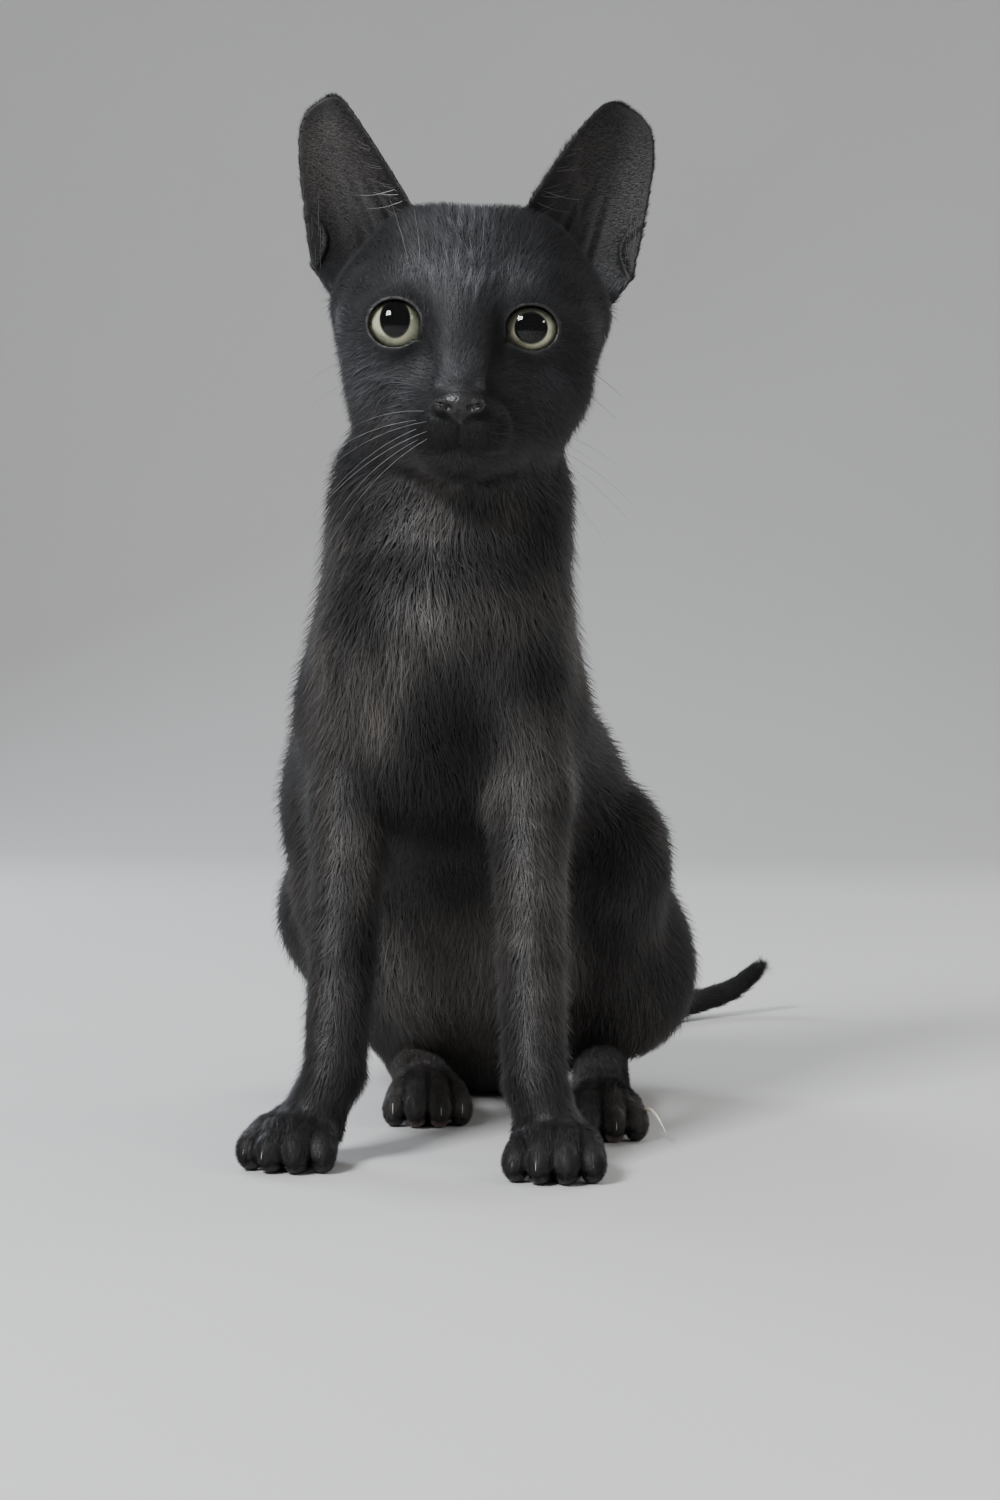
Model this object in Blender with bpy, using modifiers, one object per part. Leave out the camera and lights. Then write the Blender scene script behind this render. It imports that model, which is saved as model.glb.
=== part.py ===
"""A young short-haired cat sitting upright, forepaws straight below the shoulders, head level,
the tail lying out behind and to the cat's left.  Modelled whole from named masses, then parted
with thin cuts into head, neck, chest, abdomen, pelvis, legs, paws and tail, with separate ears,
eyes and claws.

Masses are given in millimetres: x is the cat's left, y its back, z is up, and the floor is z = 0.
The finished pieces are in metres, with the middle of the bounding box's floor at the origin."""
import bpy
import bmesh
import numpy as np
from mathutils import Matrix, Vector

for old in list(bpy.data.objects):
    bpy.data.objects.remove(old, do_unlink=True)

# ------------------------------------------------------------------ driving dimensions, mm
EYE_R = 9.6                      # eyeball
EYE_X, EYE_Z = 19.0, -1.2        # each eyeball's centre from the head's midline, and from HEAD_AT
LID = 1.5                        # thickness of the lids over the eyeball
OPENING = (7.7, 6.9)             # half width and half height between the lids
HEAD_AT = (1.4, -80.0, 243.2)    # midpoint between the eyeballs
HEAD_ROLL, HEAD_YAW = 2.0, 4.4   # degrees, towards the cat's left
SKULL_X = 1.8                    # the skull behind the eyes lies this far to the left of the face's midline
EAR_BASE = (30.5, 27.0, 24.0)    # from HEAD_AT
EAR_TIP = (45.8, 22.5, 70.3)
EAR_SHELL = 2.4
EAR_INNER = {1: (24.6, 13.5, 4.0), -1: (22.0, 16.0, 1.5)}    # how far its inner edge lies from its spine, by side
GAP = 0.3                        # between neighbouring pieces
REMESH = 2.2                     # voxel of the first body
BODY_TRIANGLES = 3330

FL_TOE, FR_TOE = (29.5, -127.0, 0.0), (-48.0, -115.5, 0.0)     # front edges of the forepaws
HL_TOE, HR_TOE = (41.5, -59.0, 0.0), (-13.5, -36.0, 0.0)       # and of the hind paws

TAIL = [(0, 82, 21), (8, 115, 9.3), (22, 155, 7.2), (41, 203, 6.6), (64, 241, 6.4), (86, 262, 10.5), (99, 271, 19.0)]
TAIL_R = [11.5, 8.4, 7.7, 7.3, 6.8, 6.2, 5.2]
TAIL_STEPS = 3                   # pieces of tail between two of those points


def turn(axis, degrees):
    c, s = np.cos(np.radians(degrees)), np.sin(np.radians(degrees))
    return {"x": np.array([[1, 0, 0], [0, c, -s], [0, s, c]]),
            "y": np.array([[c, 0, s], [0, 1, 0], [-s, 0, c]]),
            "z": np.array([[c, -s, 0], [s, c, 0], [0, 0, 1]])}[axis]


HEAD_O = np.array(HEAD_AT)
HEAD_R = turn("z", HEAD_YAW) @ turn("y", HEAD_ROLL)


# ------------------------------------------------------------------ masses
class Mass:
    """A tapered capsule of elliptical section from a to b: w = half widths along `side`,
    d = half depths across it, k = how softly it flows into what is already there."""

    def __init__(self, name, a, b, w, d=None, k=6.0, side=(1, 0, 0), cap=None, coat=4.0, hair=9.0, flow=None, head=False):
        a, b, side = (np.array(v, float) for v in (a, b, side))
        if head:
            a, b, side = HEAD_O + HEAD_R @ a, HEAD_O + HEAD_R @ b, HEAD_R @ side
            flow = None if flow is None else HEAD_R @ np.array(flow, float)
        self.name, self.a, self.b, self.k, self.coat, self.hair = name, a, b, k, coat, hair
        self.long = float(np.linalg.norm(b - a))
        ax = (b - a) / self.long if self.long > 1e-6 else (HEAD_R if head else np.eye(3)) @ np.array([0, 0, 1.0])
        u = side - ax * (side @ ax)
        u /= np.linalg.norm(u)
        self.ax, self.u, self.v = ax, u, np.cross(ax, u)
        self.w = (w, w) if np.isscalar(w) else w
        self.d = self.w if d is None else ((d, d) if np.isscalar(d) else d)
        self.cap = cap or tuple((p + q) / 2 for p, q in zip(self.w, self.d))
        self.flow = ax if flow is None else np.array(flow, float) / np.linalg.norm(flow)
        r = [max(self.w[i], self.d[i], self.cap[i]) for i in (0, 1)]
        self.lo, self.hi = np.minimum(a - r[0], b - r[1]), np.maximum(a + r[0], b + r[1])

    def dist(self, p):
        q = p - self.a
        h = q @ self.ax
        t = np.clip(h / self.long, 0, 1) if self.long > 1e-6 else np.zeros(len(p))
        e = h - t * self.long
        x, y = q @ self.u, q @ self.v
        w = self.w[0] + (self.w[1] - self.w[0]) * t
        d = self.d[0] + (self.d[1] - self.d[0]) * t
        c = np.where(t < .5, self.cap[0], self.cap[1])
        k0 = np.sqrt((x / w) ** 2 + (y / d) ** 2 + (e / c) ** 2) + 1e-9
        k1 = np.sqrt((x / w ** 2) ** 2 + (y / d ** 2) ** 2 + (e / c ** 2) ** 2) + 1e-9
        return k0 * (k0 - 1) / k1


def ball(name, c, r, **kw):
    """An ellipsoid of half sizes r = (x, y, z)."""
    return Mass(name, c, c, r[0], r[1], cap=(r[2], r[2]), **kw)


def smin(a, b, k):
    h = np.clip(.5 + .5 * (b - a) / k, 0, 1)
    return b + (a - b) * h - k * h * (1 - h)


def smax(a, b, k):
    return -smin(-a, -b, k)


def trunk():
    return [
        Mass("neck_top", (-1, -49, 228), (-5.5, -46, 190), (31, 35.5), (27, 33), k=14, coat=5, hair=11),
        Mass("neck_base", (-5.5, -46, 192), (-7, -46, 160), (36.5, 38.5), (34, 41), k=12, coat=5.5, hair=12),
        Mass("breast", (-7, -47, 160), (-8, -42, 128), (35.5, 36), (41, 36), k=12, coat=5.5, hair=12),
        Mass("ribs", (-9.5, -32, 128), (-10.5, 12, 102), (47, 56), (42, 46), k=15, coat=5, hair=11),
        Mass("withers", (-6, -14, 171), (-9, 16, 135), (30, 34), (21, 21), k=14, coat=5, hair=11),
        Mass("loin", (-9, 16, 98), (-2, 40, 56), (53, 54), (44, 42), k=16, coat=5, hair=11),
        ball("rump", (0, 48, 41), (50, 44, 42), k=14, coat=5, hair=11, flow=(0, .3, -1)),
        ball("belly", (-3, 12, 58), (42, 34, 38), k=12, coat=5, hair=11, flow=(0, -.2, -1)),
    ]


def paw_frame(s, toe, turned, size=1.0):
    """Points of a paw from its front edge on the floor: forward, outward, up."""
    t = np.radians(turned)
    fwd, lat = np.array([s * np.sin(t), -np.cos(t), 0]), np.array([s * np.cos(t), s * s * np.sin(t), 0])
    o = np.array(toe, float)
    return fwd, lat, lambda f, l, z: o + (fwd * f + lat * l + np.array([0, 0, z])) * size


TOES = (-10.6, -3.7, 3.7, 10.6)


def paw(s, name, toe, turned, size=1.0, front=True):
    fwd, lat, at = paw_frame(s, toe, turned, size)
    out = [Mass(name + "_pad", at(-24, 0, 8.3), at(-13, 0, 8.6), (11.5 * size, 12.5 * size), (9 * size, 9.4 * size), k=5, coat=1.7, hair=5, side=lat)]
    for i, l in enumerate(TOES):
        mid = abs(l) < 5
        out.append(Mass("%s_toe%d" % (name, i), at(-14.2 if mid else -17.6, l * .8, 10.3), at(-5.2 if mid else -8.6, l, 6.4 if mid else 5.9),
                        (4.3 * size, (4.6 if mid else 4.4) * size), (5 * size, (6.6 if mid else 6.2) * size), k=1.3, coat=.9, hair=2.6, side=lat))
    if front:
        out.append(Mass(name + "_dew", at(-26, -9, 17), at(-21.5, -9.8, 11.5), (4.2, 4.0), k=3, coat=1.8, hair=4, side=lat))
    return out


def foreleg(s, name, toe, turned, shoulder, elbow, wrist):
    sh, el, wr = (np.array(v, float) for v in (shoulder, elbow, wrist))
    mid = el * .45 + wr * .55
    fwd = paw_frame(s, toe, turned)[0]
    return [
        Mass(name + "_scapula", sh + (s * -16, 46, 28), sh + (s * -5, 8, 2), (13, 14), (20, 22), k=12, coat=5, hair=10, flow=(0, .25, -1)),
        Mass(name + "_upper", sh, el + (0, 6, 8), (15, 13.5), (22, 19), k=9, coat=4.2, hair=9),
        Mass(name + "_elbow", el + (0, 10, 6), el + (0, 3, -12), (11, 11), (13, 13), k=7, coat=3.6, hair=8),
        Mass(name + "_fore1", el, mid, (12.8, 10.8), (14.5, 12), k=7, coat=3.4, hair=8),
        Mass(name + "_fore2", mid, wr, (10.8, 10), (12, 10.8), k=1.5, coat=3, hair=7),
        Mass(name + "_wrist", wr, np.array(toe) - fwd * 21.5 + (s * -1.5, 0, 10.5), (10, 9.6), (10.8, 9), k=2, coat=2.6, hair=6),
    ] + paw(s, name, toe, turned)


HIND = .97


def hindleg(s, name, toe, turned, hip, knee, hock, haunch):
    hip, kn, ho = (np.array(v, float) for v in (hip, knee, hock))
    fwd = paw_frame(s, toe, turned)[0]
    return [
        Mass(name + "_thigh", hip, kn, (26, 15.5), (34, 25), k=13, coat=4.8, hair=10, flow=(0, .45, -1)),
        ball(name + "_haunch", (s * haunch[0], 44, haunch[1]), (haunch[2], 33, haunch[3]), k=13, coat=4.6, hair=10, flow=(0, .3, -1)),
        Mass(name + "_shank", kn, ho, (14.5, 9.5), (18, 11), k=7, coat=3.8, hair=8),
        Mass(name + "_foot", ho, np.array(toe) - fwd * 20 + (0, 0, 9.2), (9.5, 10.2), (9.6, 9.2), k=4, coat=2.6, hair=6),
    ] + paw(s, name, toe, turned, size=HIND, front=False)


FORE = (("fl", 1, FL_TOE, -2, (14.5, -60, 145), (19.5, -66, 104), (23.5, -101, 26)),
        ("fr", -1, FR_TOE, 9, (-30, -58, 145), (-33.5, -64, 104), (-35, -91, 26)))
REAR = (("hl", 1, HL_TOE, 3, (37, 44, 58), (46, 3, 82.5), (38, 42, 13), (47, 42, 24, 29.5)),
        ("hr", -1, HR_TOE, -6, (-39, 44, 60), (-45, 2, 71), (-27, 46, 13), (48.5, 62, 24.5, 25)))


def legs():
    out = []
    for name, s, toe, turned, a, b, c in FORE:
        out += foreleg(s, name, toe, turned, a, b, c)
    for name, s, toe, turned, a, b, c, haunch in REAR:
        out += hindleg(s, name, toe, turned, a, b, c, haunch)
    return out


def tail():
    """One curve through the tail's points (Catmull-Rom), in short tapered pieces."""
    q = np.column_stack([TAIL, TAIL_R])
    q = np.vstack([2 * q[0] - q[1], q, 2 * q[-1] - q[-2]])
    curve = []
    for i in range(1, len(q) - 2):
        for t in np.arange(TAIL_STEPS) / TAIL_STEPS:
            a, b, c, d = q[i - 1:i + 3]
            curve.append(.5 * (2 * b + (c - a) * t + (2 * a - 5 * b + 4 * c - d) * t * t + (3 * b - a - 3 * c + d) * t ** 3))
    curve.append(q[-2])
    return [Mass("tail%d" % i, a[:3], b[:3], (a[3], b[3]), k=10 if i == 0 else 1, coat=3.0, hair=8)
            for i, (a, b) in enumerate(zip(curve[:-1], curve[1:]))]


def head():
    out = []

    def one(name, a, b, w, d=None, **kw):
        out.append(Mass(name, a, b, w, d, head=True, **kw))

    def two(name, a, b, w, d=None, **kw):
        for s in (1, -1):
            one(name + "lr"[s < 0], (s * a[0], a[1], a[2]), (s * b[0], b[1], b[2]), w, d, **kw)

    def blob(name, c, r, lean=0.0, **kw):
        for s in ((1, -1) if c[0] else (1,)):
            out.append(ball(name + ("lr"[s < 0] if c[0] else ""), (s * c[0] + lean, c[1], c[2]), r, head=True, **kw))

    blob("cranium", (0, 26, 10), (34, 33, 29.5), SKULL_X, k=10, coat=3, hair=7, flow=(0, 1, .2))
    blob("crown", (14, 20, 19.5), (18, 19, 17.5), SKULL_X, k=9, coat=3, hair=6, flow=(0, 1, .2))
    blob("face", (0, 8, -6), (30, 20, 26), .6, k=9, coat=2.2, hair=4.5)
    blob("cheek", (21, 14, -13), (17, 20, 20), SKULL_X, k=9, coat=3.2, hair=7)
    blob("temple", (26.5, 22, 7), (16.3, 20, 17), SKULL_X, k=9, coat=3, hair=6)
    blob("brow", (16, 3.0, 9.5), (15, 8.5, 9), .4, k=10, coat=2.2, hair=4.5)
    blob("orbit", (26, 6.5, -3), (11, 10.5, 11), .8, k=9, coat=2.2, hair=4.5)
    one("bridge", (0, -4.2, 7), (0, -20.8, -19.2), (10.5, 7.4), (7.5, 6), k=6, coat=1.4, hair=3)
    one("muzzle", (0, -1, -23), (0, -13.5, -30), (18.5, 13.5), (15, 10.5), k=7, coat=1.6, hair=3.5)
    blob("whisker_pad", (6.2, -15.8, -31.8), (7.8, 8.6, 7.2), k=6, coat=1.3, hair=3)
    blob("nose", (0, -23.8, -26.2), (6.9, 4.4, 4.6), k=2, coat=.5, hair=1)
    blob("chin", (0, -13.0, -40.2), (7.6, 7.4, 4.8), k=4.5, coat=1.5, hair=3.5)
    two("jaw", (4, -10, -37.2), (19, 14, -28), (7.2, 12), k=7, coat=2.4, hair=5)
    one("throat", (0, 0, -35), (0, 26, -28), (16, 24), (9, 16), k=12, coat=4, hair=8)
    return out


MASSES = trunk() + legs() + tail() + head()


def eye_frame(s):
    f = HEAD_R @ np.array([s * np.sin(np.radians(6)), -1, -.07])
    return HEAD_O + HEAD_R @ np.array([s * EYE_X, 0, EYE_Z]), f / np.linalg.norm(f)


def body_field(p, margin=6.0):
    """Distance to the coat's surface, negative inside, mm."""
    f = np.full(len(p), 99.0)
    for m in MASSES:
        i = np.flatnonzero(((p > m.lo - m.k - margin) & (p < m.hi + m.k + margin)).all(1))
        if len(i):
            f[i] = smin(f[i], m.dist(p[i]), m.k)
    for s in (1, -1):
        c, _ = eye_frame(s)
        i = np.flatnonzero((np.abs(p - c) < 16 + margin).all(1))
        if len(i):
            f[i] = smin(f[i], np.linalg.norm(p[i] - c, axis=1) - (EYE_R + LID), 3.0)
    return f


# ------------------------------------------------------------------ ears
class Ear:
    """A cupped leaf: v runs from base to tip, u across it, w towards the opening."""

    def __init__(self, s):
        self.s = s
        b, t = (np.array([s * q[0] + SKULL_X, *q[1:]]) for q in (EAR_BASE, EAR_TIP))
        v = t - b
        self.long = float(np.linalg.norm(v))
        v /= self.long
        out = np.array([s * 28.5, 16, -27.0])
        u = out - v * (out @ v)
        u /= np.linalg.norm(u)
        w = np.cross(u, v)
        w = -w if w[1] > 0 else w
        self.axes = HEAD_R @ np.stack([u, v, w], 1)          # columns
        self.o = HEAD_O + HEAD_R @ b

    def halves(self, v):
        t = np.clip(v / self.long, -.35, 1.05)
        a, b, c = EAR_INNER[self.s]
        inner = a - b * t - c * np.clip(t, 0, 1) ** 6
        outer = 18.6 * (1 - .38 * t) * np.sqrt(np.clip(1 - np.clip(t, 0, 1) ** 8, .02, 1)) + .5 * np.minimum(v - 2, 0)
        return inner, np.maximum(outer, 1.0)

    def leaf(self, u, v):
        inner, outer = self.halves(v)
        mid, half = (outer - inner) / 2, (outer + inner) / 2
        x = np.clip(np.abs((u - mid) / np.maximum(half, 1)), 0, 1.1)
        cup = 12.0 * (1 - np.clip(v / self.long, 0, 1)) ** .8 + 2.0
        return mid, half, x, cup

    def sheet(self, u, v):
        mid, half, x, cup = self.leaf(u, v)
        return cup * x ** 2.2 - cup * .6


# ------------------------------------------------------------------ modelling helpers
MM = .001
parts = bpy.data.collections.new("cat")
cutters = bpy.data.collections.new("cutters")
for c in (parts, cutters):
    bpy.context.scene.collection.children.link(c)


def material(name, colour, roughness, metallic=0.0):
    m = bpy.data.materials.new(name)
    m.use_nodes = True
    b = m.node_tree.nodes["Principled BSDF"]
    b.inputs["Base Color"].default_value = (*colour, 1)
    b.inputs["Roughness"].default_value = roughness
    b.inputs["Metallic"].default_value = metallic
    return m


COAT = material("coat", (.022, .021, .022), .62)
EAR_SKIN = material("ear_skin", (.045, .036, .033), .6)
EYE = material("eye", (.45, .50, .24), .08)
CLAW = material("claw", (.55, .49, .38), .3)


def link(ob, where):
    for c in list(ob.users_collection):
        c.objects.unlink(ob)
    where.objects.link(ob)
    if where is cutters:
        ob.hide_render = True
        ob.display_type = "WIRE"
    return ob


def sphere(name, segments, rings, place):
    """A sphere primitive whose unit points are carried by `place` (N x 3 -> N x 3, mm)."""
    me = bpy.data.meshes.new(name)
    bm = bmesh.new()
    bmesh.ops.create_uvsphere(bm, u_segments=segments, v_segments=rings, radius=1)
    bm.to_mesh(me)
    bm.free()
    p = np.array([v.co[:] for v in me.vertices])
    me.vertices.foreach_set("co", (place(p) * MM).ravel())
    me.update()
    return bpy.data.objects.new(name, me)


def box(name, lo, hi, tilt=None, pivot=None):
    """A box cutter between two corners, mm, optionally turned about x through its pivot."""
    lo, hi = np.array(lo, float), np.array(hi, float)
    me = bpy.data.meshes.new(name)
    bm = bmesh.new()
    bmesh.ops.create_cube(bm, size=1)
    m = Matrix.Translation(Vector((lo + hi) / 2 * MM)) @ Matrix.Diagonal(Vector((hi - lo) * MM).to_4d())
    if tilt is not None:
        c = Vector(np.array(pivot, float) * MM)
        m = Matrix.Translation(c) @ Matrix.Rotation(np.radians(tilt), 4, "X") @ Matrix.Translation(-c) @ m
    bm.transform(m)
    bm.to_mesh(me)
    bm.free()
    return link(bpy.data.objects.new(name, me), cutters)


def settle(ob):
    """Replace the object's mesh with what its modifiers make of it."""
    deps = bpy.context.evaluated_depsgraph_get()
    me = bpy.data.meshes.new_from_object(ob.evaluated_get(deps))
    ob.modifiers.clear()
    old, ob.data = ob.data, me
    me.name = ob.name
    bpy.data.meshes.remove(old)
    return ob


def copy(ob, name, where):
    new = bpy.data.objects.new(name, ob.data.copy())
    return link(new, where)


def cut(ob, tool, operation="DIFFERENCE"):
    mod = ob.modifiers.new("cut", "BOOLEAN")
    mod.operation, mod.object, mod.solver = operation, tool, "EXACT"
    return settle(ob)


def swell(ob, name, by):
    """A copy grown by `by` mm along its normals, to cut a neighbour clear of it."""
    new = copy(ob, name, cutters)
    mod = new.modifiers.new("swell", "DISPLACE")
    mod.strength, mod.mid_level = by * MM, 0
    return settle(new)


def one_body(ob):
    """Keep the largest of the bodies that a cut has left."""
    bm = bmesh.new()
    bm.from_mesh(ob.data)
    todo, groups = set(bm.verts), []
    while todo:
        group, front = set(), [todo.pop()]
        while front:
            v = front.pop()
            group.add(v)
            for e in v.link_edges:
                w = e.other_vert(v)
                if w in todo:
                    todo.discard(w)
                    front.append(w)
        groups.append(group)
    groups.sort(key=len)
    bmesh.ops.delete(bm, geom=[v for g in groups[:-1] for v in g], context="VERTS")
    bm.to_mesh(ob.data)
    bm.free()
    return ob


def points(ob):
    p = np.empty(len(ob.data.vertices) * 3)
    ob.data.vertices.foreach_get("co", p)
    return p.reshape(-1, 3) / MM


# ------------------------------------------------------------------ one body
def capsule(m):
    def place(p):
        end = (p[:, 2] >= 0).astype(int)
        w, d, c = (np.array(v)[end] for v in (m.w, m.d, m.cap))
        o = np.where(end[:, None] == 1, m.b, m.a)
        return o + m.u * (p[:, 0] * w)[:, None] + m.v * (p[:, 1] * d)[:, None] + m.ax * (p[:, 2] * c)[:, None]
    return sphere(m.name, 20, 10, place)


seeds = [link(capsule(m), parts) for m in MASSES]
for s in (1, -1):
    c, _ = eye_frame(s)
    seeds.append(link(sphere("lid", 20, 10, lambda p: c + p * (EYE_R + LID)), parts))
bm = bmesh.new()
for ob in seeds:
    bm.from_mesh(ob.data)
body = link(bpy.data.objects.new("body", bpy.data.meshes.new("body")), parts)
bm.to_mesh(body.data)
bm.free()
for ob in seeds:
    bpy.data.objects.remove(ob, do_unlink=True)
mod = body.modifiers.new("one skin", "REMESH")
mod.mode, mod.voxel_size, mod.adaptivity = "VOXEL", REMESH * MM, 0
settle(body)


def onto_field(ob, rounds=4, h=.25):
    """Carry each vertex onto the masses' blended surface."""
    p = points(ob)
    for _ in range(rounds):
        f = body_field(p)
        g = np.stack([(body_field(p + d) - body_field(p - d)) / (2 * h) for d in np.eye(3) * h], 1)
        n2 = np.maximum((g ** 2).sum(1), .2)
        step = np.clip(f, -2.5, 2.5)[:, None] * g / n2[:, None]
        p = p - np.where(np.abs(f)[:, None] < 20, step, 0)
    ob.data.vertices.foreach_set("co", (p * MM).ravel())
    ob.data.update()


onto_field(body, 3)
mod = body.modifiers.new("even", "SMOOTH")
mod.factor, mod.iterations = .5, 4
settle(body)
onto_field(body, 2)
mod = body.modifiers.new("fewer faces", "DECIMATE")
mod.decimate_type = "COLLAPSE"
mod.ratio = BODY_TRIANGLES / (2 * len(body.data.polygons))
settle(body)
cut(body, box("floor", (-300, -300, -60), (300, 400, 0)))

# sockets, and the openings between the lids
eyes = {}
for s, side in ((1, "left"), (-1, "right")):
    c, f = eye_frame(s)
    cut(body, link(sphere("socket_" + side, 20, 12, lambda p: c + p * (EYE_R + GAP)), cutters))
    x = HEAD_R[:, 0] - f * (HEAD_R[:, 0] @ f)
    x /= np.linalg.norm(x)
    z = np.cross(x, f)
    z = z if z[2] > 0 else -z
    cut(body, link(sphere("opening_" + side, 20, 10, lambda p: c + f * 11 + x * (p[:, :1] * OPENING[0] * 1.02) + z * (p[:, 1:2] * OPENING[1] * 1.02) + f * (p[:, 2:3] * 9)), cutters))
    eyes["eye_" + side] = (c, f, x, z)

# ------------------------------------------------------------------ thin cuts
# each piece is taken from the body by a box; the rest is cut by the same box grown by the gap
CUTS = (
    ("forepaw_left", (4, -150, -5), (60, -70, 27), None, None),
    ("forepaw_right", (-90, -150, -5), (-10, -62, 27), None, None),
    ("forearm_left", (2, -150, 5), (60, -50, 92), -25, (0, -66, 92)),
    ("forearm_right", (-80, -150, 5), (-12, -48, 92), -19, (0, -64, 92)),
    ("hind_paw_left", (20, -75, -5), (66, -10, 25), None, None),
    ("hind_paw_right", (-36, -60, -5), (8, -6, 22.5), None, None),
    ("tail_tip", (20, 225, -5), (150, 320, 60), None, None),
    ("tail_middle", (-10, 163, -5), (80, 226, 60), None, None),
    ("tail_base", (-30, 101, -5), (50, 164, 40), None, None),
    ("head", (-80, -160, 203), (80, 60, 330), 19, (0, -60, 203)),
    ("upper_arm_left", (10, -120, 75), (60, -34, 140), None, None),
    ("upper_arm_right", (-70, -120, 75), (-26, -34, 140), None, None),
    ("neck", (-80, -160, 160), (80, 80, 240), 19, (0, -60, 160)),
    ("hock_left", (24, -12, -5), (100, 100, 24), None, None),
    ("thigh_left", (33, -60, 23), (100, 110, 107), None, None),
    ("thigh_right", (-100, -45, 8), (-35, 110, 103), None, None),
    ("chest", (-90, -200, -60), (70, 5, 300), -40, (0, 5, 112)),
    ("abdomen", (-90, -200, -100), (70, 40, 300), -40, (0, 40, 62)),
)
for name, lo, hi, tilt, pivot in CUTS:
    lo, hi = np.array(lo, float), np.array(hi, float)
    piece = copy(body, name, parts)
    cut(piece, box("take_" + name, lo, hi, tilt, pivot), "INTERSECT")
    if name.startswith("forearm"):
        one_body(piece)
    cut(body, box("leave_" + name, lo - GAP, hi + GAP, tilt, pivot))
body.name = "pelvis"
piece = {ob.name: ob for ob in parts.objects}

# ------------------------------------------------------------------ eyes and ears
for name, (c, f, x, z) in eyes.items():
    piece[name] = link(sphere(name, 18, 10, lambda p: c + p * EYE_R), parts)

head_room = swell(piece["head"], "head_room", GAP)
for s, side in ((1, "left"), (-1, "right")):
    ear = Ear(s)
    bpy.ops.mesh.primitive_grid_add(x_subdivisions=9, y_subdivisions=9, size=2)
    ob = link(bpy.context.object, parts)
    ob.name = ob.data.name = "ear_" + side
    p = points(ob) * MM                                       # the unit grid, -1..1
    v = ear.long * (-.27 + 1.25 * (1 - (.5 - p[:, 1] / 2) ** 1.25))
    mid, half, _, _ = ear.leaf(0, v)
    round_tip = np.sqrt(np.clip(1 - (np.clip(v / ear.long - .86, 0, None) / .15) ** 2, .03, 1))
    u = mid + p[:, 0] * half * round_tip
    q = np.stack([u, v, ear.sheet(u, v)], 1)
    ob.data.vertices.foreach_set("co", ((ear.o + q @ ear.axes.T) * MM).ravel())
    ob.data.update()
    mod = ob.modifiers.new("shell", "SOLIDIFY")
    mod.thickness, mod.offset, mod.use_even_offset = EAR_SHELL * MM, 0, False
    settle(ob)
    bm = bmesh.new()
    bm.from_mesh(ob.data)
    bmesh.ops.recalc_face_normals(bm, faces=bm.faces)
    bm.to_mesh(ob.data)
    bm.free()
    cut(ob, head_room)
    piece["ear_" + side] = ob

# ------------------------------------------------------------------ claws
CLAW_ARC, CLAW_R = 5.5, 1.15


def claw(name, s, toe, turned, size, i, reach, splay=0.0):
    """A hooked cone leaving the toe's upper front and curving down."""
    fwd, lat, at = paw_frame(s, toe, turned, size)
    mid = abs(TOES[i]) < 5
    f0, l0 = (-3.6 if mid else -6.8), TOES[i] + (.6 if TOES[i] > 0 else -.6)

    def place(p):
        t = (p[:, 2] + 1) / 2
        a = np.radians(105 - (95 + 10 * reach) * t)
        r = CLAW_R * np.sqrt(np.clip(1 - p[:, 2] ** 2, 0, 1)) * (1.05 - .72 * t)
        ring = np.hypot(p[:, 0], p[:, 1]) + 1e-9
        out, across = r * p[:, 0] / ring, r * p[:, 1] / ring * .7
        arc = CLAW_ARC * (.78 + .22 * reach) + out
        f, z = arc * np.cos(a), 3.9 + arc * np.sin(a)
        f, l = f, l0 + across + splay * t * reach * 3
        o = at(f0, 0, 0)
        return o + (fwd * f[:, None] + lat * l[:, None] + np.array([0, 0, 1]) * z[:, None]) * size
    return link(sphere(name, 6, 5, place), parts)


for paw_name, s, toe, turned, size in (("fore_left", 1, FL_TOE, -2, 1.0), ("fore_right", -1, FR_TOE, 9, 1.0),
                                       ("hind_left", 1, HL_TOE, 3, HIND), ("hind_right", -1, HR_TOE, -6, HIND)):
    host = piece[("forepaw_" if "fore" in paw_name else "hind_paw_") + paw_name.split("_")[1]]
    room = swell(host, "room_" + paw_name, GAP)
    for i in range(4):
        long_one = paw_name == "hind_left" and i == 3
        ob = claw("claw_%s_%d" % (paw_name, i + 1), s, toe, turned, size, i, 1.9 if long_one else 1.0, 1.2 if long_one else .0)
        one_body(cut(ob, room))
        piece[ob.name] = ob

# ------------------------------------------------------------------ colours, origin, placing
for name, ob in piece.items():
    ob.data.materials.clear()
    ob.data.materials.append(EYE if name.startswith("eye") else CLAW if name.startswith("claw") else EAR_SKIN if name.startswith("ear") else COAT)
    for poly in ob.data.polygons:
        poly.material_index = 0
    ob.data.shade_smooth()
    ob.data.set_sharp_from_angle(angle=np.radians(40))

every = np.concatenate([points(ob) for ob in piece.values()])
lo, hi = every.min(0), every.max(0)
shift = np.array([-(lo[0] + hi[0]) / 2, -(lo[1] + hi[1]) / 2, -lo[2]])
root = bpy.data.objects.new("cat_root", None)
parts.objects.link(root)
for ob in piece.values():
    p = points(ob) + shift
    c = (p.min(0) + p.max(0)) / 2
    ob.data.vertices.foreach_set("co", ((p - c) * MM).ravel())
    ob.data.update()
    ob.location = Vector(c * MM)
    ob.parent = root
for ob in cutters.objects:
    ob.location = Vector(shift * MM)
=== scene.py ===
import bpy
import bmesh
import math
import numpy as np
from mathutils import Matrix, Vector
from mathutils.bvhtree import BVHTree

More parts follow.
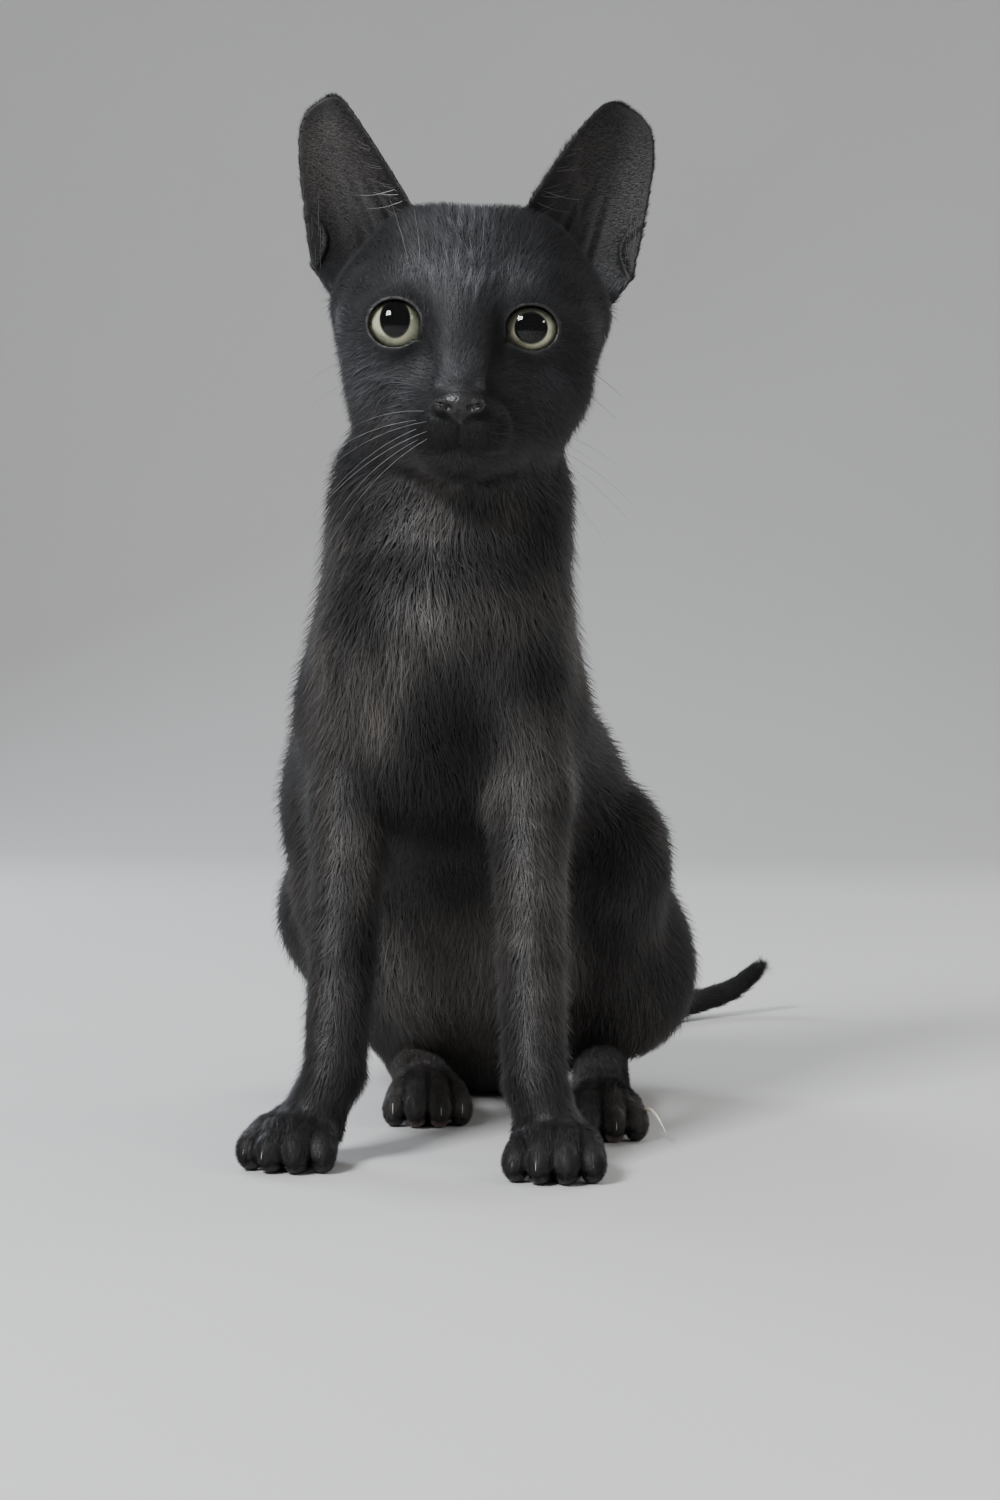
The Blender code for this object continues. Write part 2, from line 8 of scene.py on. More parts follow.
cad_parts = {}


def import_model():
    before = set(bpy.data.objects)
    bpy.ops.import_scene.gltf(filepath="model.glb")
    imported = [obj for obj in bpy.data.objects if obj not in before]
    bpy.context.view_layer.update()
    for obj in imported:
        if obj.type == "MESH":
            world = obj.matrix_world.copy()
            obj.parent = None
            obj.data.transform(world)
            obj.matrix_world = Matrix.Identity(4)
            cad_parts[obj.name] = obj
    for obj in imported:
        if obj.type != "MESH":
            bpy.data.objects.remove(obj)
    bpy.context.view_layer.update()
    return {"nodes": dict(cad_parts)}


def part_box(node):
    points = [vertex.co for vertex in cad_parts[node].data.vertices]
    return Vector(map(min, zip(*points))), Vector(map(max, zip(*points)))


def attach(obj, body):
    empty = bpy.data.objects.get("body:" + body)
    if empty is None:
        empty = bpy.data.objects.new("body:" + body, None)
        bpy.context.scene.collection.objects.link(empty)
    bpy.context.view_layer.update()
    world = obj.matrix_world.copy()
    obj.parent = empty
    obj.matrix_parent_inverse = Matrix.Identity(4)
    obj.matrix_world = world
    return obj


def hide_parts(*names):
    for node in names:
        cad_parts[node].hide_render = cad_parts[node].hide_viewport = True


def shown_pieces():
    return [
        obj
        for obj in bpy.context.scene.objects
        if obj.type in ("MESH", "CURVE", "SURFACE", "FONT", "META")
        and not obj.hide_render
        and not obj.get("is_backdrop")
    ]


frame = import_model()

RNG = np.random.default_rng(20)

# The body's own masses, in millimetres: x is the cat's left, y its back, z is up.
# ------------------------------------------------------------------ driving dimensions, mm
EYE_R = 9.6                      # eyeball
EYE_X, EYE_Z = 19.0, -1.2        # each eyeball's centre from the head's midline, and from HEAD_AT
LID = 1.5                        # thickness of the lids over the eyeball
OPENING = (7.7, 6.9)             # half width and half height between the lids
HEAD_AT = (1.4, -80.0, 243.2)    # midpoint between the eyeballs
HEAD_ROLL, HEAD_YAW = 2.0, 4.4   # degrees, towards the cat's left
SKULL_X = 1.8                    # the skull behind the eyes lies this far to the left of the face's midline
EAR_BASE = (30.5, 27.0, 24.0)    # from HEAD_AT
EAR_TIP = (45.8, 22.5, 70.3)
EAR_SHELL = 2.4
EAR_INNER = {1: (24.6, 13.5, 4.0), -1: (22.0, 16.0, 1.5)}    # how far its inner edge lies from its spine, by side
GAP = 0.3                        # between neighbouring pieces
REMESH = 2.2                     # voxel of the first body
BODY_TRIANGLES = 3330

FL_TOE, FR_TOE = (29.5, -127.0, 0.0), (-48.0, -115.5, 0.0)     # front edges of the forepaws
HL_TOE, HR_TOE = (41.5, -59.0, 0.0), (-13.5, -36.0, 0.0)       # and of the hind paws

TAIL = [(0, 82, 21), (8, 115, 9.3), (22, 155, 7.2), (41, 203, 6.6), (64, 241, 6.4), (86, 262, 10.5), (99, 271, 19.0)]
TAIL_R = [11.5, 8.4, 7.7, 7.3, 6.8, 6.2, 5.2]
TAIL_STEPS = 3                   # pieces of tail between two of those points


def turn(axis, degrees):
    c, s = np.cos(np.radians(degrees)), np.sin(np.radians(degrees))
    return {"x": np.array([[1, 0, 0], [0, c, -s], [0, s, c]]),
            "y": np.array([[c, 0, s], [0, 1, 0], [-s, 0, c]]),
            "z": np.array([[c, -s, 0], [s, c, 0], [0, 0, 1]])}[axis]


HEAD_O = np.array(HEAD_AT)
HEAD_R = turn("z", HEAD_YAW) @ turn("y", HEAD_ROLL)


# ------------------------------------------------------------------ masses
class Mass:
    """A tapered capsule of elliptical section from a to b: w = half widths along `side`,
    d = half depths across it, k = how softly it flows into what is already there."""

    def __init__(self, name, a, b, w, d=None, k=6.0, side=(1, 0, 0), cap=None, coat=4.0, hair=9.0, flow=None, head=False):
        a, b, side = (np.array(v, float) for v in (a, b, side))
        if head:
            a, b, side = HEAD_O + HEAD_R @ a, HEAD_O + HEAD_R @ b, HEAD_R @ side
            flow = None if flow is None else HEAD_R @ np.array(flow, float)
        self.name, self.a, self.b, self.k, self.coat, self.hair = name, a, b, k, coat, hair
        self.long = float(np.linalg.norm(b - a))
        ax = (b - a) / self.long if self.long > 1e-6 else (HEAD_R if head else np.eye(3)) @ np.array([0, 0, 1.0])
        u = side - ax * (side @ ax)
        u /= np.linalg.norm(u)
        self.ax, self.u, self.v = ax, u, np.cross(ax, u)
        self.w = (w, w) if np.isscalar(w) else w
        self.d = self.w if d is None else ((d, d) if np.isscalar(d) else d)
        self.cap = cap or tuple((p + q) / 2 for p, q in zip(self.w, self.d))
        self.flow = ax if flow is None else np.array(flow, float) / np.linalg.norm(flow)
        r = [max(self.w[i], self.d[i], self.cap[i]) for i in (0, 1)]
        self.lo, self.hi = np.minimum(a - r[0], b - r[1]), np.maximum(a + r[0], b + r[1])

    def dist(self, p):
        q = p - self.a
        h = q @ self.ax
        t = np.clip(h / self.long, 0, 1) if self.long > 1e-6 else np.zeros(len(p))
        e = h - t * self.long
        x, y = q @ self.u, q @ self.v
        w = self.w[0] + (self.w[1] - self.w[0]) * t
        d = self.d[0] + (self.d[1] - self.d[0]) * t
        c = np.where(t < .5, self.cap[0], self.cap[1])
        k0 = np.sqrt((x / w) ** 2 + (y / d) ** 2 + (e / c) ** 2) + 1e-9
        k1 = np.sqrt((x / w ** 2) ** 2 + (y / d ** 2) ** 2 + (e / c ** 2) ** 2) + 1e-9
        return k0 * (k0 - 1) / k1


def ball(name, c, r, **kw):
    """An ellipsoid of half sizes r = (x, y, z)."""
    return Mass(name, c, c, r[0], r[1], cap=(r[2], r[2]), **kw)


def smin(a, b, k):
    h = np.clip(.5 + .5 * (b - a) / k, 0, 1)
    return b + (a - b) * h - k * h * (1 - h)


def smax(a, b, k):
    return -smin(-a, -b, k)


def trunk():
    return [
        Mass("neck_top", (-1, -49, 228), (-5.5, -46, 190), (31, 35.5), (27, 33), k=14, coat=5, hair=11),
        Mass("neck_base", (-5.5, -46, 192), (-7, -46, 160), (36.5, 38.5), (34, 41), k=12, coat=5.5, hair=12),
        Mass("breast", (-7, -47, 160), (-8, -42, 128), (35.5, 36), (41, 36), k=12, coat=5.5, hair=12),
        Mass("ribs", (-9.5, -32, 128), (-10.5, 12, 102), (47, 56), (42, 46), k=15, coat=5, hair=11),
        Mass("withers", (-6, -14, 171), (-9, 16, 135), (30, 34), (21, 21), k=14, coat=5, hair=11),
        Mass("loin", (-9, 16, 98), (-2, 40, 56), (53, 54), (44, 42), k=16, coat=5, hair=11),
        ball("rump", (0, 48, 41), (50, 44, 42), k=14, coat=5, hair=11, flow=(0, .3, -1)),
        ball("belly", (-3, 12, 58), (42, 34, 38), k=12, coat=5, hair=11, flow=(0, -.2, -1)),
    ]


def paw_frame(s, toe, turned, size=1.0):
    """Points of a paw from its front edge on the floor: forward, outward, up."""
    t = np.radians(turned)
    fwd, lat = np.array([s * np.sin(t), -np.cos(t), 0]), np.array([s * np.cos(t), s * s * np.sin(t), 0])
    o = np.array(toe, float)
    return fwd, lat, lambda f, l, z: o + (fwd * f + lat * l + np.array([0, 0, z])) * size


TOES = (-10.6, -3.7, 3.7, 10.6)


def paw(s, name, toe, turned, size=1.0, front=True):
    fwd, lat, at = paw_frame(s, toe, turned, size)
    out = [Mass(name + "_pad", at(-24, 0, 8.3), at(-13, 0, 8.6), (11.5 * size, 12.5 * size), (9 * size, 9.4 * size), k=5, coat=1.7, hair=5, side=lat)]
    for i, l in enumerate(TOES):
        mid = abs(l) < 5
        out.append(Mass("%s_toe%d" % (name, i), at(-14.2 if mid else -17.6, l * .8, 10.3), at(-5.2 if mid else -8.6, l, 6.4 if mid else 5.9),
                        (4.3 * size, (4.6 if mid else 4.4) * size), (5 * size, (6.6 if mid else 6.2) * size), k=1.3, coat=.9, hair=2.6, side=lat))
    if front:
        out.append(Mass(name + "_dew", at(-26, -9, 17), at(-21.5, -9.8, 11.5), (4.2, 4.0), k=3, coat=1.8, hair=4, side=lat))
    return out


def foreleg(s, name, toe, turned, shoulder, elbow, wrist):
    sh, el, wr = (np.array(v, float) for v in (shoulder, elbow, wrist))
    mid = el * .45 + wr * .55
    fwd = paw_frame(s, toe, turned)[0]
    return [
        Mass(name + "_scapula", sh + (s * -16, 46, 28), sh + (s * -5, 8, 2), (13, 14), (20, 22), k=12, coat=5, hair=10, flow=(0, .25, -1)),
        Mass(name + "_upper", sh, el + (0, 6, 8), (15, 13.5), (22, 19), k=9, coat=4.2, hair=9),
        Mass(name + "_elbow", el + (0, 10, 6), el + (0, 3, -12), (11, 11), (13, 13), k=7, coat=3.6, hair=8),
        Mass(name + "_fore1", el, mid, (12.8, 10.8), (14.5, 12), k=7, coat=3.4, hair=8),
        Mass(name + "_fore2", mid, wr, (10.8, 10), (12, 10.8), k=1.5, coat=3, hair=7),
        Mass(name + "_wrist", wr, np.array(toe) - fwd * 21.5 + (s * -1.5, 0, 10.5), (10, 9.6), (10.8, 9), k=2, coat=2.6, hair=6),
    ] + paw(s, name, toe, turned)


HIND = .97


def hindleg(s, name, toe, turned, hip, knee, hock, haunch):
    hip, kn, ho = (np.array(v, float) for v in (hip, knee, hock))
    fwd = paw_frame(s, toe, turned)[0]
    return [
        Mass(name + "_thigh", hip, kn, (26, 15.5), (34, 25), k=13, coat=4.8, hair=10, flow=(0, .45, -1)),
        ball(name + "_haunch", (s * haunch[0], 44, haunch[1]), (haunch[2], 33, haunch[3]), k=13, coat=4.6, hair=10, flow=(0, .3, -1)),
        Mass(name + "_shank", kn, ho, (14.5, 9.5), (18, 11), k=7, coat=3.8, hair=8),
        Mass(name + "_foot", ho, np.array(toe) - fwd * 20 + (0, 0, 9.2), (9.5, 10.2), (9.6, 9.2), k=4, coat=2.6, hair=6),
    ] + paw(s, name, toe, turned, size=HIND, front=False)


FORE = (("fl", 1, FL_TOE, -2, (14.5, -60, 145), (19.5, -66, 104), (23.5, -101, 26)),
        ("fr", -1, FR_TOE, 9, (-30, -58, 145), (-33.5, -64, 104), (-35, -91, 26)))
REAR = (("hl", 1, HL_TOE, 3, (37, 44, 58), (46, 3, 82.5), (38, 42, 13), (47, 42, 24, 29.5)),
        ("hr", -1, HR_TOE, -6, (-39, 44, 60), (-45, 2, 71), (-27, 46, 13), (48.5, 62, 24.5, 25)))


def legs():
    out = []
    for name, s, toe, turned, a, b, c in FORE:
        out += foreleg(s, name, toe, turned, a, b, c)
    for name, s, toe, turned, a, b, c, haunch in REAR:
        out += hindleg(s, name, toe, turned, a, b, c, haunch)
    return out


def tail():
    """One curve through the tail's points (Catmull-Rom), in short tapered pieces."""
    q = np.column_stack([TAIL, TAIL_R])
    q = np.vstack([2 * q[0] - q[1], q, 2 * q[-1] - q[-2]])
    curve = []
    for i in range(1, len(q) - 2):
        for t in np.arange(TAIL_STEPS) / TAIL_STEPS:
            a, b, c, d = q[i - 1:i + 3]
            curve.append(.5 * (2 * b + (c - a) * t + (2 * a - 5 * b + 4 * c - d) * t * t + (3 * b - a - 3 * c + d) * t ** 3))
    curve.append(q[-2])
    return [Mass("tail%d" % i, a[:3], b[:3], (a[3], b[3]), k=10 if i == 0 else 1, coat=3.0, hair=8)
            for i, (a, b) in enumerate(zip(curve[:-1], curve[1:]))]


def head():
    out = []

    def one(name, a, b, w, d=None, **kw):
        out.append(Mass(name, a, b, w, d, head=True, **kw))

    def two(name, a, b, w, d=None, **kw):
        for s in (1, -1):
            one(name + "lr"[s < 0], (s * a[0], a[1], a[2]), (s * b[0], b[1], b[2]), w, d, **kw)

    def blob(name, c, r, lean=0.0, **kw):
        for s in ((1, -1) if c[0] else (1,)):
            out.append(ball(name + ("lr"[s < 0] if c[0] else ""), (s * c[0] + lean, c[1], c[2]), r, head=True, **kw))

    blob("cranium", (0, 26, 10), (34, 33, 29.5), SKULL_X, k=10, coat=3, hair=7, flow=(0, 1, .2))
    blob("crown", (14, 20, 19.5), (18, 19, 17.5), SKULL_X, k=9, coat=3, hair=6, flow=(0, 1, .2))
    blob("face", (0, 8, -6), (30, 20, 26), .6, k=9, coat=2.2, hair=4.5)
    blob("cheek", (21, 14, -13), (17, 20, 20), SKULL_X, k=9, coat=3.2, hair=7)
    blob("temple", (26.5, 22, 7), (16.3, 20, 17), SKULL_X, k=9, coat=3, hair=6)
    blob("brow", (16, 3.0, 9.5), (15, 8.5, 9), .4, k=10, coat=2.2, hair=4.5)
    blob("orbit", (26, 6.5, -3), (11, 10.5, 11), .8, k=9, coat=2.2, hair=4.5)
    one("bridge", (0, -4.2, 7), (0, -20.8, -19.2), (10.5, 7.4), (7.5, 6), k=6, coat=1.4, hair=3)
    one("muzzle", (0, -1, -23), (0, -13.5, -30), (18.5, 13.5), (15, 10.5), k=7, coat=1.6, hair=3.5)
    blob("whisker_pad", (6.2, -15.8, -31.8), (7.8, 8.6, 7.2), k=6, coat=1.3, hair=3)
    blob("nose", (0, -23.8, -26.2), (6.9, 4.4, 4.6), k=2, coat=.5, hair=1)
    blob("chin", (0, -13.0, -40.2), (7.6, 7.4, 4.8), k=4.5, coat=1.5, hair=3.5)
    two("jaw", (4, -10, -37.2), (19, 14, -28), (7.2, 12), k=7, coat=2.4, hair=5)
    one("throat", (0, 0, -35), (0, 26, -28), (16, 24), (9, 16), k=12, coat=4, hair=8)
    return out


MASSES = trunk() + legs() + tail() + head()


def eye_frame(s):
    f = HEAD_R @ np.array([s * np.sin(np.radians(6)), -1, -.07])
    return HEAD_O + HEAD_R @ np.array([s * EYE_X, 0, EYE_Z]), f / np.linalg.norm(f)


def body_field(p, margin=6.0):
    """Distance to the coat's surface, negative inside, mm."""
    f = np.full(len(p), 99.0)
    for m in MASSES:
        i = np.flatnonzero(((p > m.lo - m.k - margin) & (p < m.hi + m.k + margin)).all(1))
        if len(i):
            f[i] = smin(f[i], m.dist(p[i]), m.k)
    for s in (1, -1):
        c, _ = eye_frame(s)
        i = np.flatnonzero((np.abs(p - c) < 16 + margin).all(1))
        if len(i):
            f[i] = smin(f[i], np.linalg.norm(p[i] - c, axis=1) - (EYE_R + LID), 3.0)
    return f


# ------------------------------------------------------------------ ears
class Ear:
    """A cupped leaf: v runs from base to tip, u across it, w towards the opening."""

    def __init__(self, s):
        self.s = s
        b, t = (np.array([s * q[0] + SKULL_X, *q[1:]]) for q in (EAR_BASE, EAR_TIP))
        v = t - b
        self.long = float(np.linalg.norm(v))
        v /= self.long
        out = np.array([s * 28.5, 16, -27.0])
        u = out - v * (out @ v)
        u /= np.linalg.norm(u)
        w = np.cross(u, v)
        w = -w if w[1] > 0 else w
        self.axes = HEAD_R @ np.stack([u, v, w], 1)          # columns
        self.o = HEAD_O + HEAD_R @ b

    def halves(self, v):
        t = np.clip(v / self.long, -.35, 1.05)
        a, b, c = EAR_INNER[self.s]
        inner = a - b * t - c * np.clip(t, 0, 1) ** 6
        outer = 18.6 * (1 - .38 * t) * np.sqrt(np.clip(1 - np.clip(t, 0, 1) ** 8, .02, 1)) + .5 * np.minimum(v - 2, 0)
        return inner, np.maximum(outer, 1.0)

    def leaf(self, u, v):
        inner, outer = self.halves(v)
        mid, half = (outer - inner) / 2, (outer + inner) / 2
        x = np.clip(np.abs((u - mid) / np.maximum(half, 1)), 0, 1.1)
        cup = 12.0 * (1 - np.clip(v / self.long, 0, 1)) ** .8 + 2.0
        return mid, half, x, cup

    def sheet(self, u, v):
        mid, half, x, cup = self.leaf(u, v)
        return cup * x ** 2.2 - cup * .6


EARS = (Ear(1), Ear(-1))
SHIFT = np.array((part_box("eye_left")[0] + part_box("eye_left")[1]) / 2) * 1000 - eye_frame(1)[0]


def world(p):
    return (np.asarray(p, float) + SHIFT) * .001


def to_head(p):
    return (p - HEAD_O) @ HEAD_R


def from_head(h):
    return HEAD_O + np.asarray(h, float) @ HEAD_R.T


# ------------------------------------------------------------------ small tools
def noise(p, size, seed=0):
    """Smooth value noise, -1..1, on points in mm."""
    q = np.asarray(p, float) / size + 37.3
    i = np.floor(q).astype(np.int64)
    f = q - i
    f = f * f * (3 - 2 * f)
    out = np.zeros(len(q))
    for k in range(8):
        o = np.array([k & 1, (k >> 1) & 1, k >> 2])
        j = (i + o).astype(np.uint64)
        h = j[:, 0] * np.uint64(73856093) ^ j[:, 1] * np.uint64(19349663) ^ j[:, 2] * np.uint64(83492791) ^ np.uint64(seed * 2654435761 + 97)
        h = (h ^ (h >> np.uint64(13))) * np.uint64(1274126177)
        h = (h ^ (h >> np.uint64(16))) & np.uint64(0xFFFF)
        w = np.prod(np.where(o == 1, f, 1 - f), axis=1)
        out += w * (h.astype(float) / 32767.5 - 1)
    return out


def seg_dist(p, a, b, ra, rb):
    a, b = np.array(a, float), np.array(b, float)
    ab = b - a
    t = np.clip((p - a) @ ab / (ab @ ab), 0, 1)
    return np.linalg.norm(p - a - t[:, None] * ab, axis=1) - (ra + (rb - ra) * t)


def line_dist(p, pts, r):
    d = np.full(len(p), 99.0)
    for a, b in zip(pts[:-1], pts[1:]):
        d = np.minimum(d, seg_dist(p, a, b, r, r))
    return d


def lump(p, c, r):
    q = (p - np.array(c, float)) / np.array(r, float)
    k0 = np.linalg.norm(q, axis=1) + 1e-9
    k1 = np.linalg.norm(q / np.array(r, float), axis=1) + 1e-9
    return k0 * (k0 - 1) / k1


def unit(v):
    return v / np.maximum(np.linalg.norm(v, axis=-1, keepdims=True), 1e-9)


def smooth01(x, a, b):
    t = np.clip((x - a) / (b - a), 0, 1)
    return t * t * (3 - 2 * t)


# ------------------------------------------------------------------ the skin under the coat
LID_SKIN = .95


def depth(m):
    """How far the skin lies inside a mass's coat."""
    return m.coat if m.coat < 2 else 2 + (m.coat - 2) * .5


def eye_axes(s):
    """Centre, outward, up and forward axes of an eye."""
    c, f = eye_frame(s)
    x = HEAD_R[:, 0] - f * (HEAD_R[:, 0] @ f)
    x /= np.linalg.norm(x)
    z = np.cross(x, f)
    z = z if z[2] > 0 else -z
    return c, x * s, z, f


def opening(x, z, s):
    """Signed distance to the edge of the opening between the lids, x outward, z up."""
    a, b = (7.55, 6.8) if s < 0 else (7.6, 6.4)
    e = (np.sqrt((x / a) ** 2 + (z / b) ** 2) - 1) * 7
    q = np.stack([x, z], 1)
    return smin(e, seg_dist(q, (-4.5, -2.0), (-8.2, -4.3), 2.2, .25), 1.4)


def ear_local(e, p):
    return ((p - e.o) @ e.axes).T


def ear_dist(e, p, thick=1.75):
    u, v, w = ear_local(e, p)
    mid, half, x, cup = e.leaf(u, v)
    wc = cup * x ** 2.2 - cup * .6
    slope = 1 / np.sqrt(1 + (cup * 2.2 * x ** 1.2 / np.maximum(half, 4)) ** 2)
    th = thick * (1.1 - .45 * x ** 3)
    low = smooth01(v, 30, 4)                                  # folds low in the cup
    for at, wide, tall in ((-.42, 1.5, .9), (.0, 1.3, .7), (.38, 1.4, .8)):
        ridge = np.exp(-((u - mid - at * half * (1 - .012 * v)) / wide) ** 2) * tall * low
        th = th + np.where(w > wc, 2 * ridge, 0)
    sheet = np.abs(w - wc) * slope - th / 2
    outl = smax((np.abs(u - mid) - half) * .9, v - e.long, 4.5)
    d = smax(np.maximum(sheet, -13 - v), outl, thick * .8)
    # the little pocket low on the outer edge
    vv = np.linspace(1.5, 17.5, 7)
    bow = np.sin(np.pi * (vv - 1.5) / 16)
    uu = e.halves(vv)[1] - 3.6 * bow - 1.0
    ww = np.array([float(e.sheet(np.array([a]), np.array([b]))[0]) for a, b in zip(uu, vv)]) + .3 + 1.1 * bow
    return smin(d, line_dist(np.stack([u, v, w], 1), np.stack([uu, vv, ww], 1), .8), .8)


def face_details(h, g):
    """Nose leather, nostrils, philtrum and mouth, in head coordinates."""
    for s in (1, -1):
        g = smin(g, lump(h, (s * 5.2, -25.2, -26.9), (1.8, 2.3, 2.2)), 1.6)
    for s in (1, -1):
        hole = smin(lump(h, (s * 3.3, -28.2, -27.6), (1.5, 2.4, 1.1)), seg_dist(h, (s * 3.6, -28.1, -27.4), (s * 7.0, -25.6, -26.4), .75, .4), .6)
        g = smax(g, -hole, .5)
    g = smax(g, -(line_dist(h, PHILTRUM, .5)), .5)
    fade = .62 - .045 * np.clip(np.abs(h[:, 0]) - 3, 0, 12)
    for s in (1, -1):
        g = smax(g, -(line_dist(h, MOUTH * np.array([s, 1, 1]), 0) - fade), .6)
    return g


def skin_field(p, margin=6.0, details=True):
    f = np.full(len(p), 99.0)
    for m in MASSES:
        i = np.flatnonzero(((p > m.lo - m.k - margin) & (p < m.hi + m.k + margin)).all(1))
        if len(i):
            f[i] = smin(f[i], m.dist(p[i]) + depth(m), m.k)
    for s in (1, -1):
        c, x, z, fw = eye_axes(s)
        i = np.flatnonzero((np.abs(p - c) < 17 + margin).all(1))
        if len(i):
            q = p[i] - c
            r = np.linalg.norm(q, axis=1)
            a, b, h = q @ x, q @ z, q @ fw
            g = smin(f[i], r - (EYE_R + LID_SKIN), 5.0)
            e = opening(a, b, s)
            g = smax(g, -np.maximum(e, 2.0 - h), .6)
            f[i] = np.maximum(g, -(r - EYE_R - .08))
    for e in EARS:
        i = np.flatnonzero((np.abs(p - e.o) < 60 + margin).all(1))
        if len(i):
            f[i] = smin(f[i], ear_dist(e, p[i]), 3.5)
    if details:
        h = to_head(p)
        i = np.flatnonzero((np.abs(h[:, 0]) < 20 + margin) & (h[:, 1] < -6 + margin) & (np.abs(h[:, 2] + 31) < 14 + margin))
        if len(i):
            f[i] = face_details(h[i], f[i])
    return smax(f, .9 - p[:, 2], 1.2)


def on_face(xz):
    """Points of the muzzle's surface seen from the front at the given x, z."""
    y = np.arange(-36, -4, .25)
    out = []
    for x, z in xz:
        f = skin_field(from_head(np.stack([np.full(len(y), x), y, np.full(len(y), z)], 1)), details=False)
        i = int(np.argmax(f < 0))
        t = f[i - 1] / (f[i - 1] - f[i]) if i else 0
        out.append((x, y[i - 1] + .25 * t, z))
    return np.array(out)


PHILTRUM = on_face([(0, z) for z in (-28.9, -30.5, -32.2, -34, -36, -37.2, -38)])
MOUTH = on_face([(0, -37.6), (2.0, -38.5), (4.6, -39.0), (8, -39.0), (11, -38.5), (13.6, -37.4)])


# ------------------------------------------------------------------ meshing a field
def surface_net(lo, hi, h, field, bs=4):
    lo = np.array(lo, float)
    n = np.ceil((np.array(hi) - lo) / h).astype(int) + 1
    F = np.full(n, 99.0, np.float32)

    def blocks(cells, size, slack):
        cen = lo + (cells + size / 2) * h
        rad = size * h * .87 * 1.2 + slack
        f = field(cen, margin=rad + 3)
        return cells[np.abs(f) <= rad], cells[f < -rad]

    big = 4 * bs
    c = np.stack(np.meshgrid(*[np.arange(0, k, big) for k in n], indexing="ij"), -1).reshape(-1, 3)
    near, inside = blocks(c, big, 1.5)
    for b in inside:
        F[b[0]:b[0] + big + 1, b[1]:b[1] + big + 1, b[2]:b[2] + big + 1] = -99
    sub = np.stack(np.meshgrid(*[np.arange(0, big, bs)] * 3, indexing="ij"), -1).reshape(-1, 3)
    c = (near[:, None] + sub[None]).reshape(-1, 3)
    c = c[(c < n - 1).all(1)]
    near, inside = blocks(c, bs, .7)
    for b in inside:
        F[b[0]:b[0] + bs + 1, b[1]:b[1] + bs + 1, b[2]:b[2] + bs + 1] = -99
    off = np.stack(np.meshgrid(*[np.arange(bs + 1)] * 3, indexing="ij"), -1).reshape(-1, 3)
    q = (near[:, None] + off[None]).reshape(-1, 3)
    q = q[(q < n).all(1)]
    lin = np.unique(np.ravel_multi_index(q.T, n))
    F.reshape(-1)[lin] = field(lo + np.stack(np.unravel_index(lin, n), -1) * h)
    S = F < 0
    tot = np.zeros(n - 1, np.int8)
    for k in range(8):
        a = (k & 1, (k >> 1) & 1, k >> 2)
        tot += S[a[0]:a[0] + n[0] - 1, a[1]:a[1] + n[1] - 1, a[2]:a[2] + n[2] - 1]
    act = (tot > 0) & (tot < 8)
    cells = np.argwhere(act)
    cid = np.full(act.shape, -1, np.int64)
    cid[act] = np.arange(len(cells))
    val = np.stack([F[cells[:, 0] + (k & 1), cells[:, 1] + ((k >> 1) & 1), cells[:, 2] + (k >> 2)] for k in range(8)], 1)
    co = np.array([[k & 1, (k >> 1) & 1, k >> 2] for k in range(8)], float)
    pos, cnt = np.zeros((len(cells), 3)), np.zeros(len(cells))
    for a in range(8):
        for b in range(a + 1, 8):
            if bin(a ^ b).count("1") == 1:
                va, vb = val[:, a], val[:, b]
                m = (va < 0) != (vb < 0)
                t = np.where(m, va / np.where(m, va - vb, 1), 0)[:, None]
                pos += np.where(m[:, None], co[a] + (co[b] - co[a]) * t, 0)
                cnt += m
    V = lo + (cells + pos / cnt[:, None]) * h
    quads = []
    for ax in range(3):
        o = [k for k in range(3) if k != ax]
        a, b = S.take(range(0, S.shape[ax] - 1), ax), S.take(range(1, S.shape[ax]), ax)
        e = np.argwhere(a != b)
        e = e[(e[:, o[0]] > 0) & (e[:, o[1]] > 0) & (e[:, o[0]] < S.shape[o[0]] - 1) & (e[:, o[1]] < S.shape[o[1]] - 1)]
        sgn = a[tuple(e.T)]

        def cell(d0, d1):
            q = e.copy()
            q[:, o[0]] += d0
            q[:, o[1]] += d1
            return cid[tuple(q.T)]
        q = np.stack([cell(-1, -1), cell(0, -1), cell(0, 0), cell(-1, 0)], 1)
        if ax == 1:
            sgn = ~sgn
        q[~sgn] = q[~sgn][:, ::-1]
        quads.append(q)
    return V, np.concatenate(quads)


def onto(p, field, rounds=2, h=.12):
    for _ in range(rounds):
        f = field(p)
        g = np.stack([(field(p + d) - field(p - d)) / (2 * h) for d in np.eye(3) * h], 1)
        p = p - np.clip(f, -.5, .5)[:, None] * g / np.maximum((g ** 2).sum(1), .3)[:, None]
    return p


def mesh_of(name, verts, faces, metres=True):
    """A mesh object from arrays; faces all have the same number of corners."""
    me = bpy.data.meshes.new(name)
    k = faces.shape[1]
    me.vertices.add(len(verts))
    me.vertices.foreach_set("co", np.ascontiguousarray(world(verts) if metres else verts, np.float32).ravel())
    me.loops.add(faces.size)
    me.loops.foreach_set("vertex_index", np.ascontiguousarray(faces, np.int32).ravel())
    me.polygons.add(len(faces))
    me.polygons.foreach_set("loop_start", np.arange(0, faces.size, k, dtype=np.int32))
    me.update(calc_edges=True)
    me.polygons.foreach_set("use_smooth", np.ones(len(faces), bool))
    ob = bpy.data.objects.new(name, me)
    bpy.context.scene.collection.objects.link(ob)
    return ob


def apply(ob):
    deps = bpy.context.evaluated_depsgraph_get()
    me = bpy.data.meshes.new_from_object(ob.evaluated_get(deps))
    ob.modifiers.clear()
    old, ob.data = ob.data, me
    bpy.data.meshes.remove(old)
    return ob


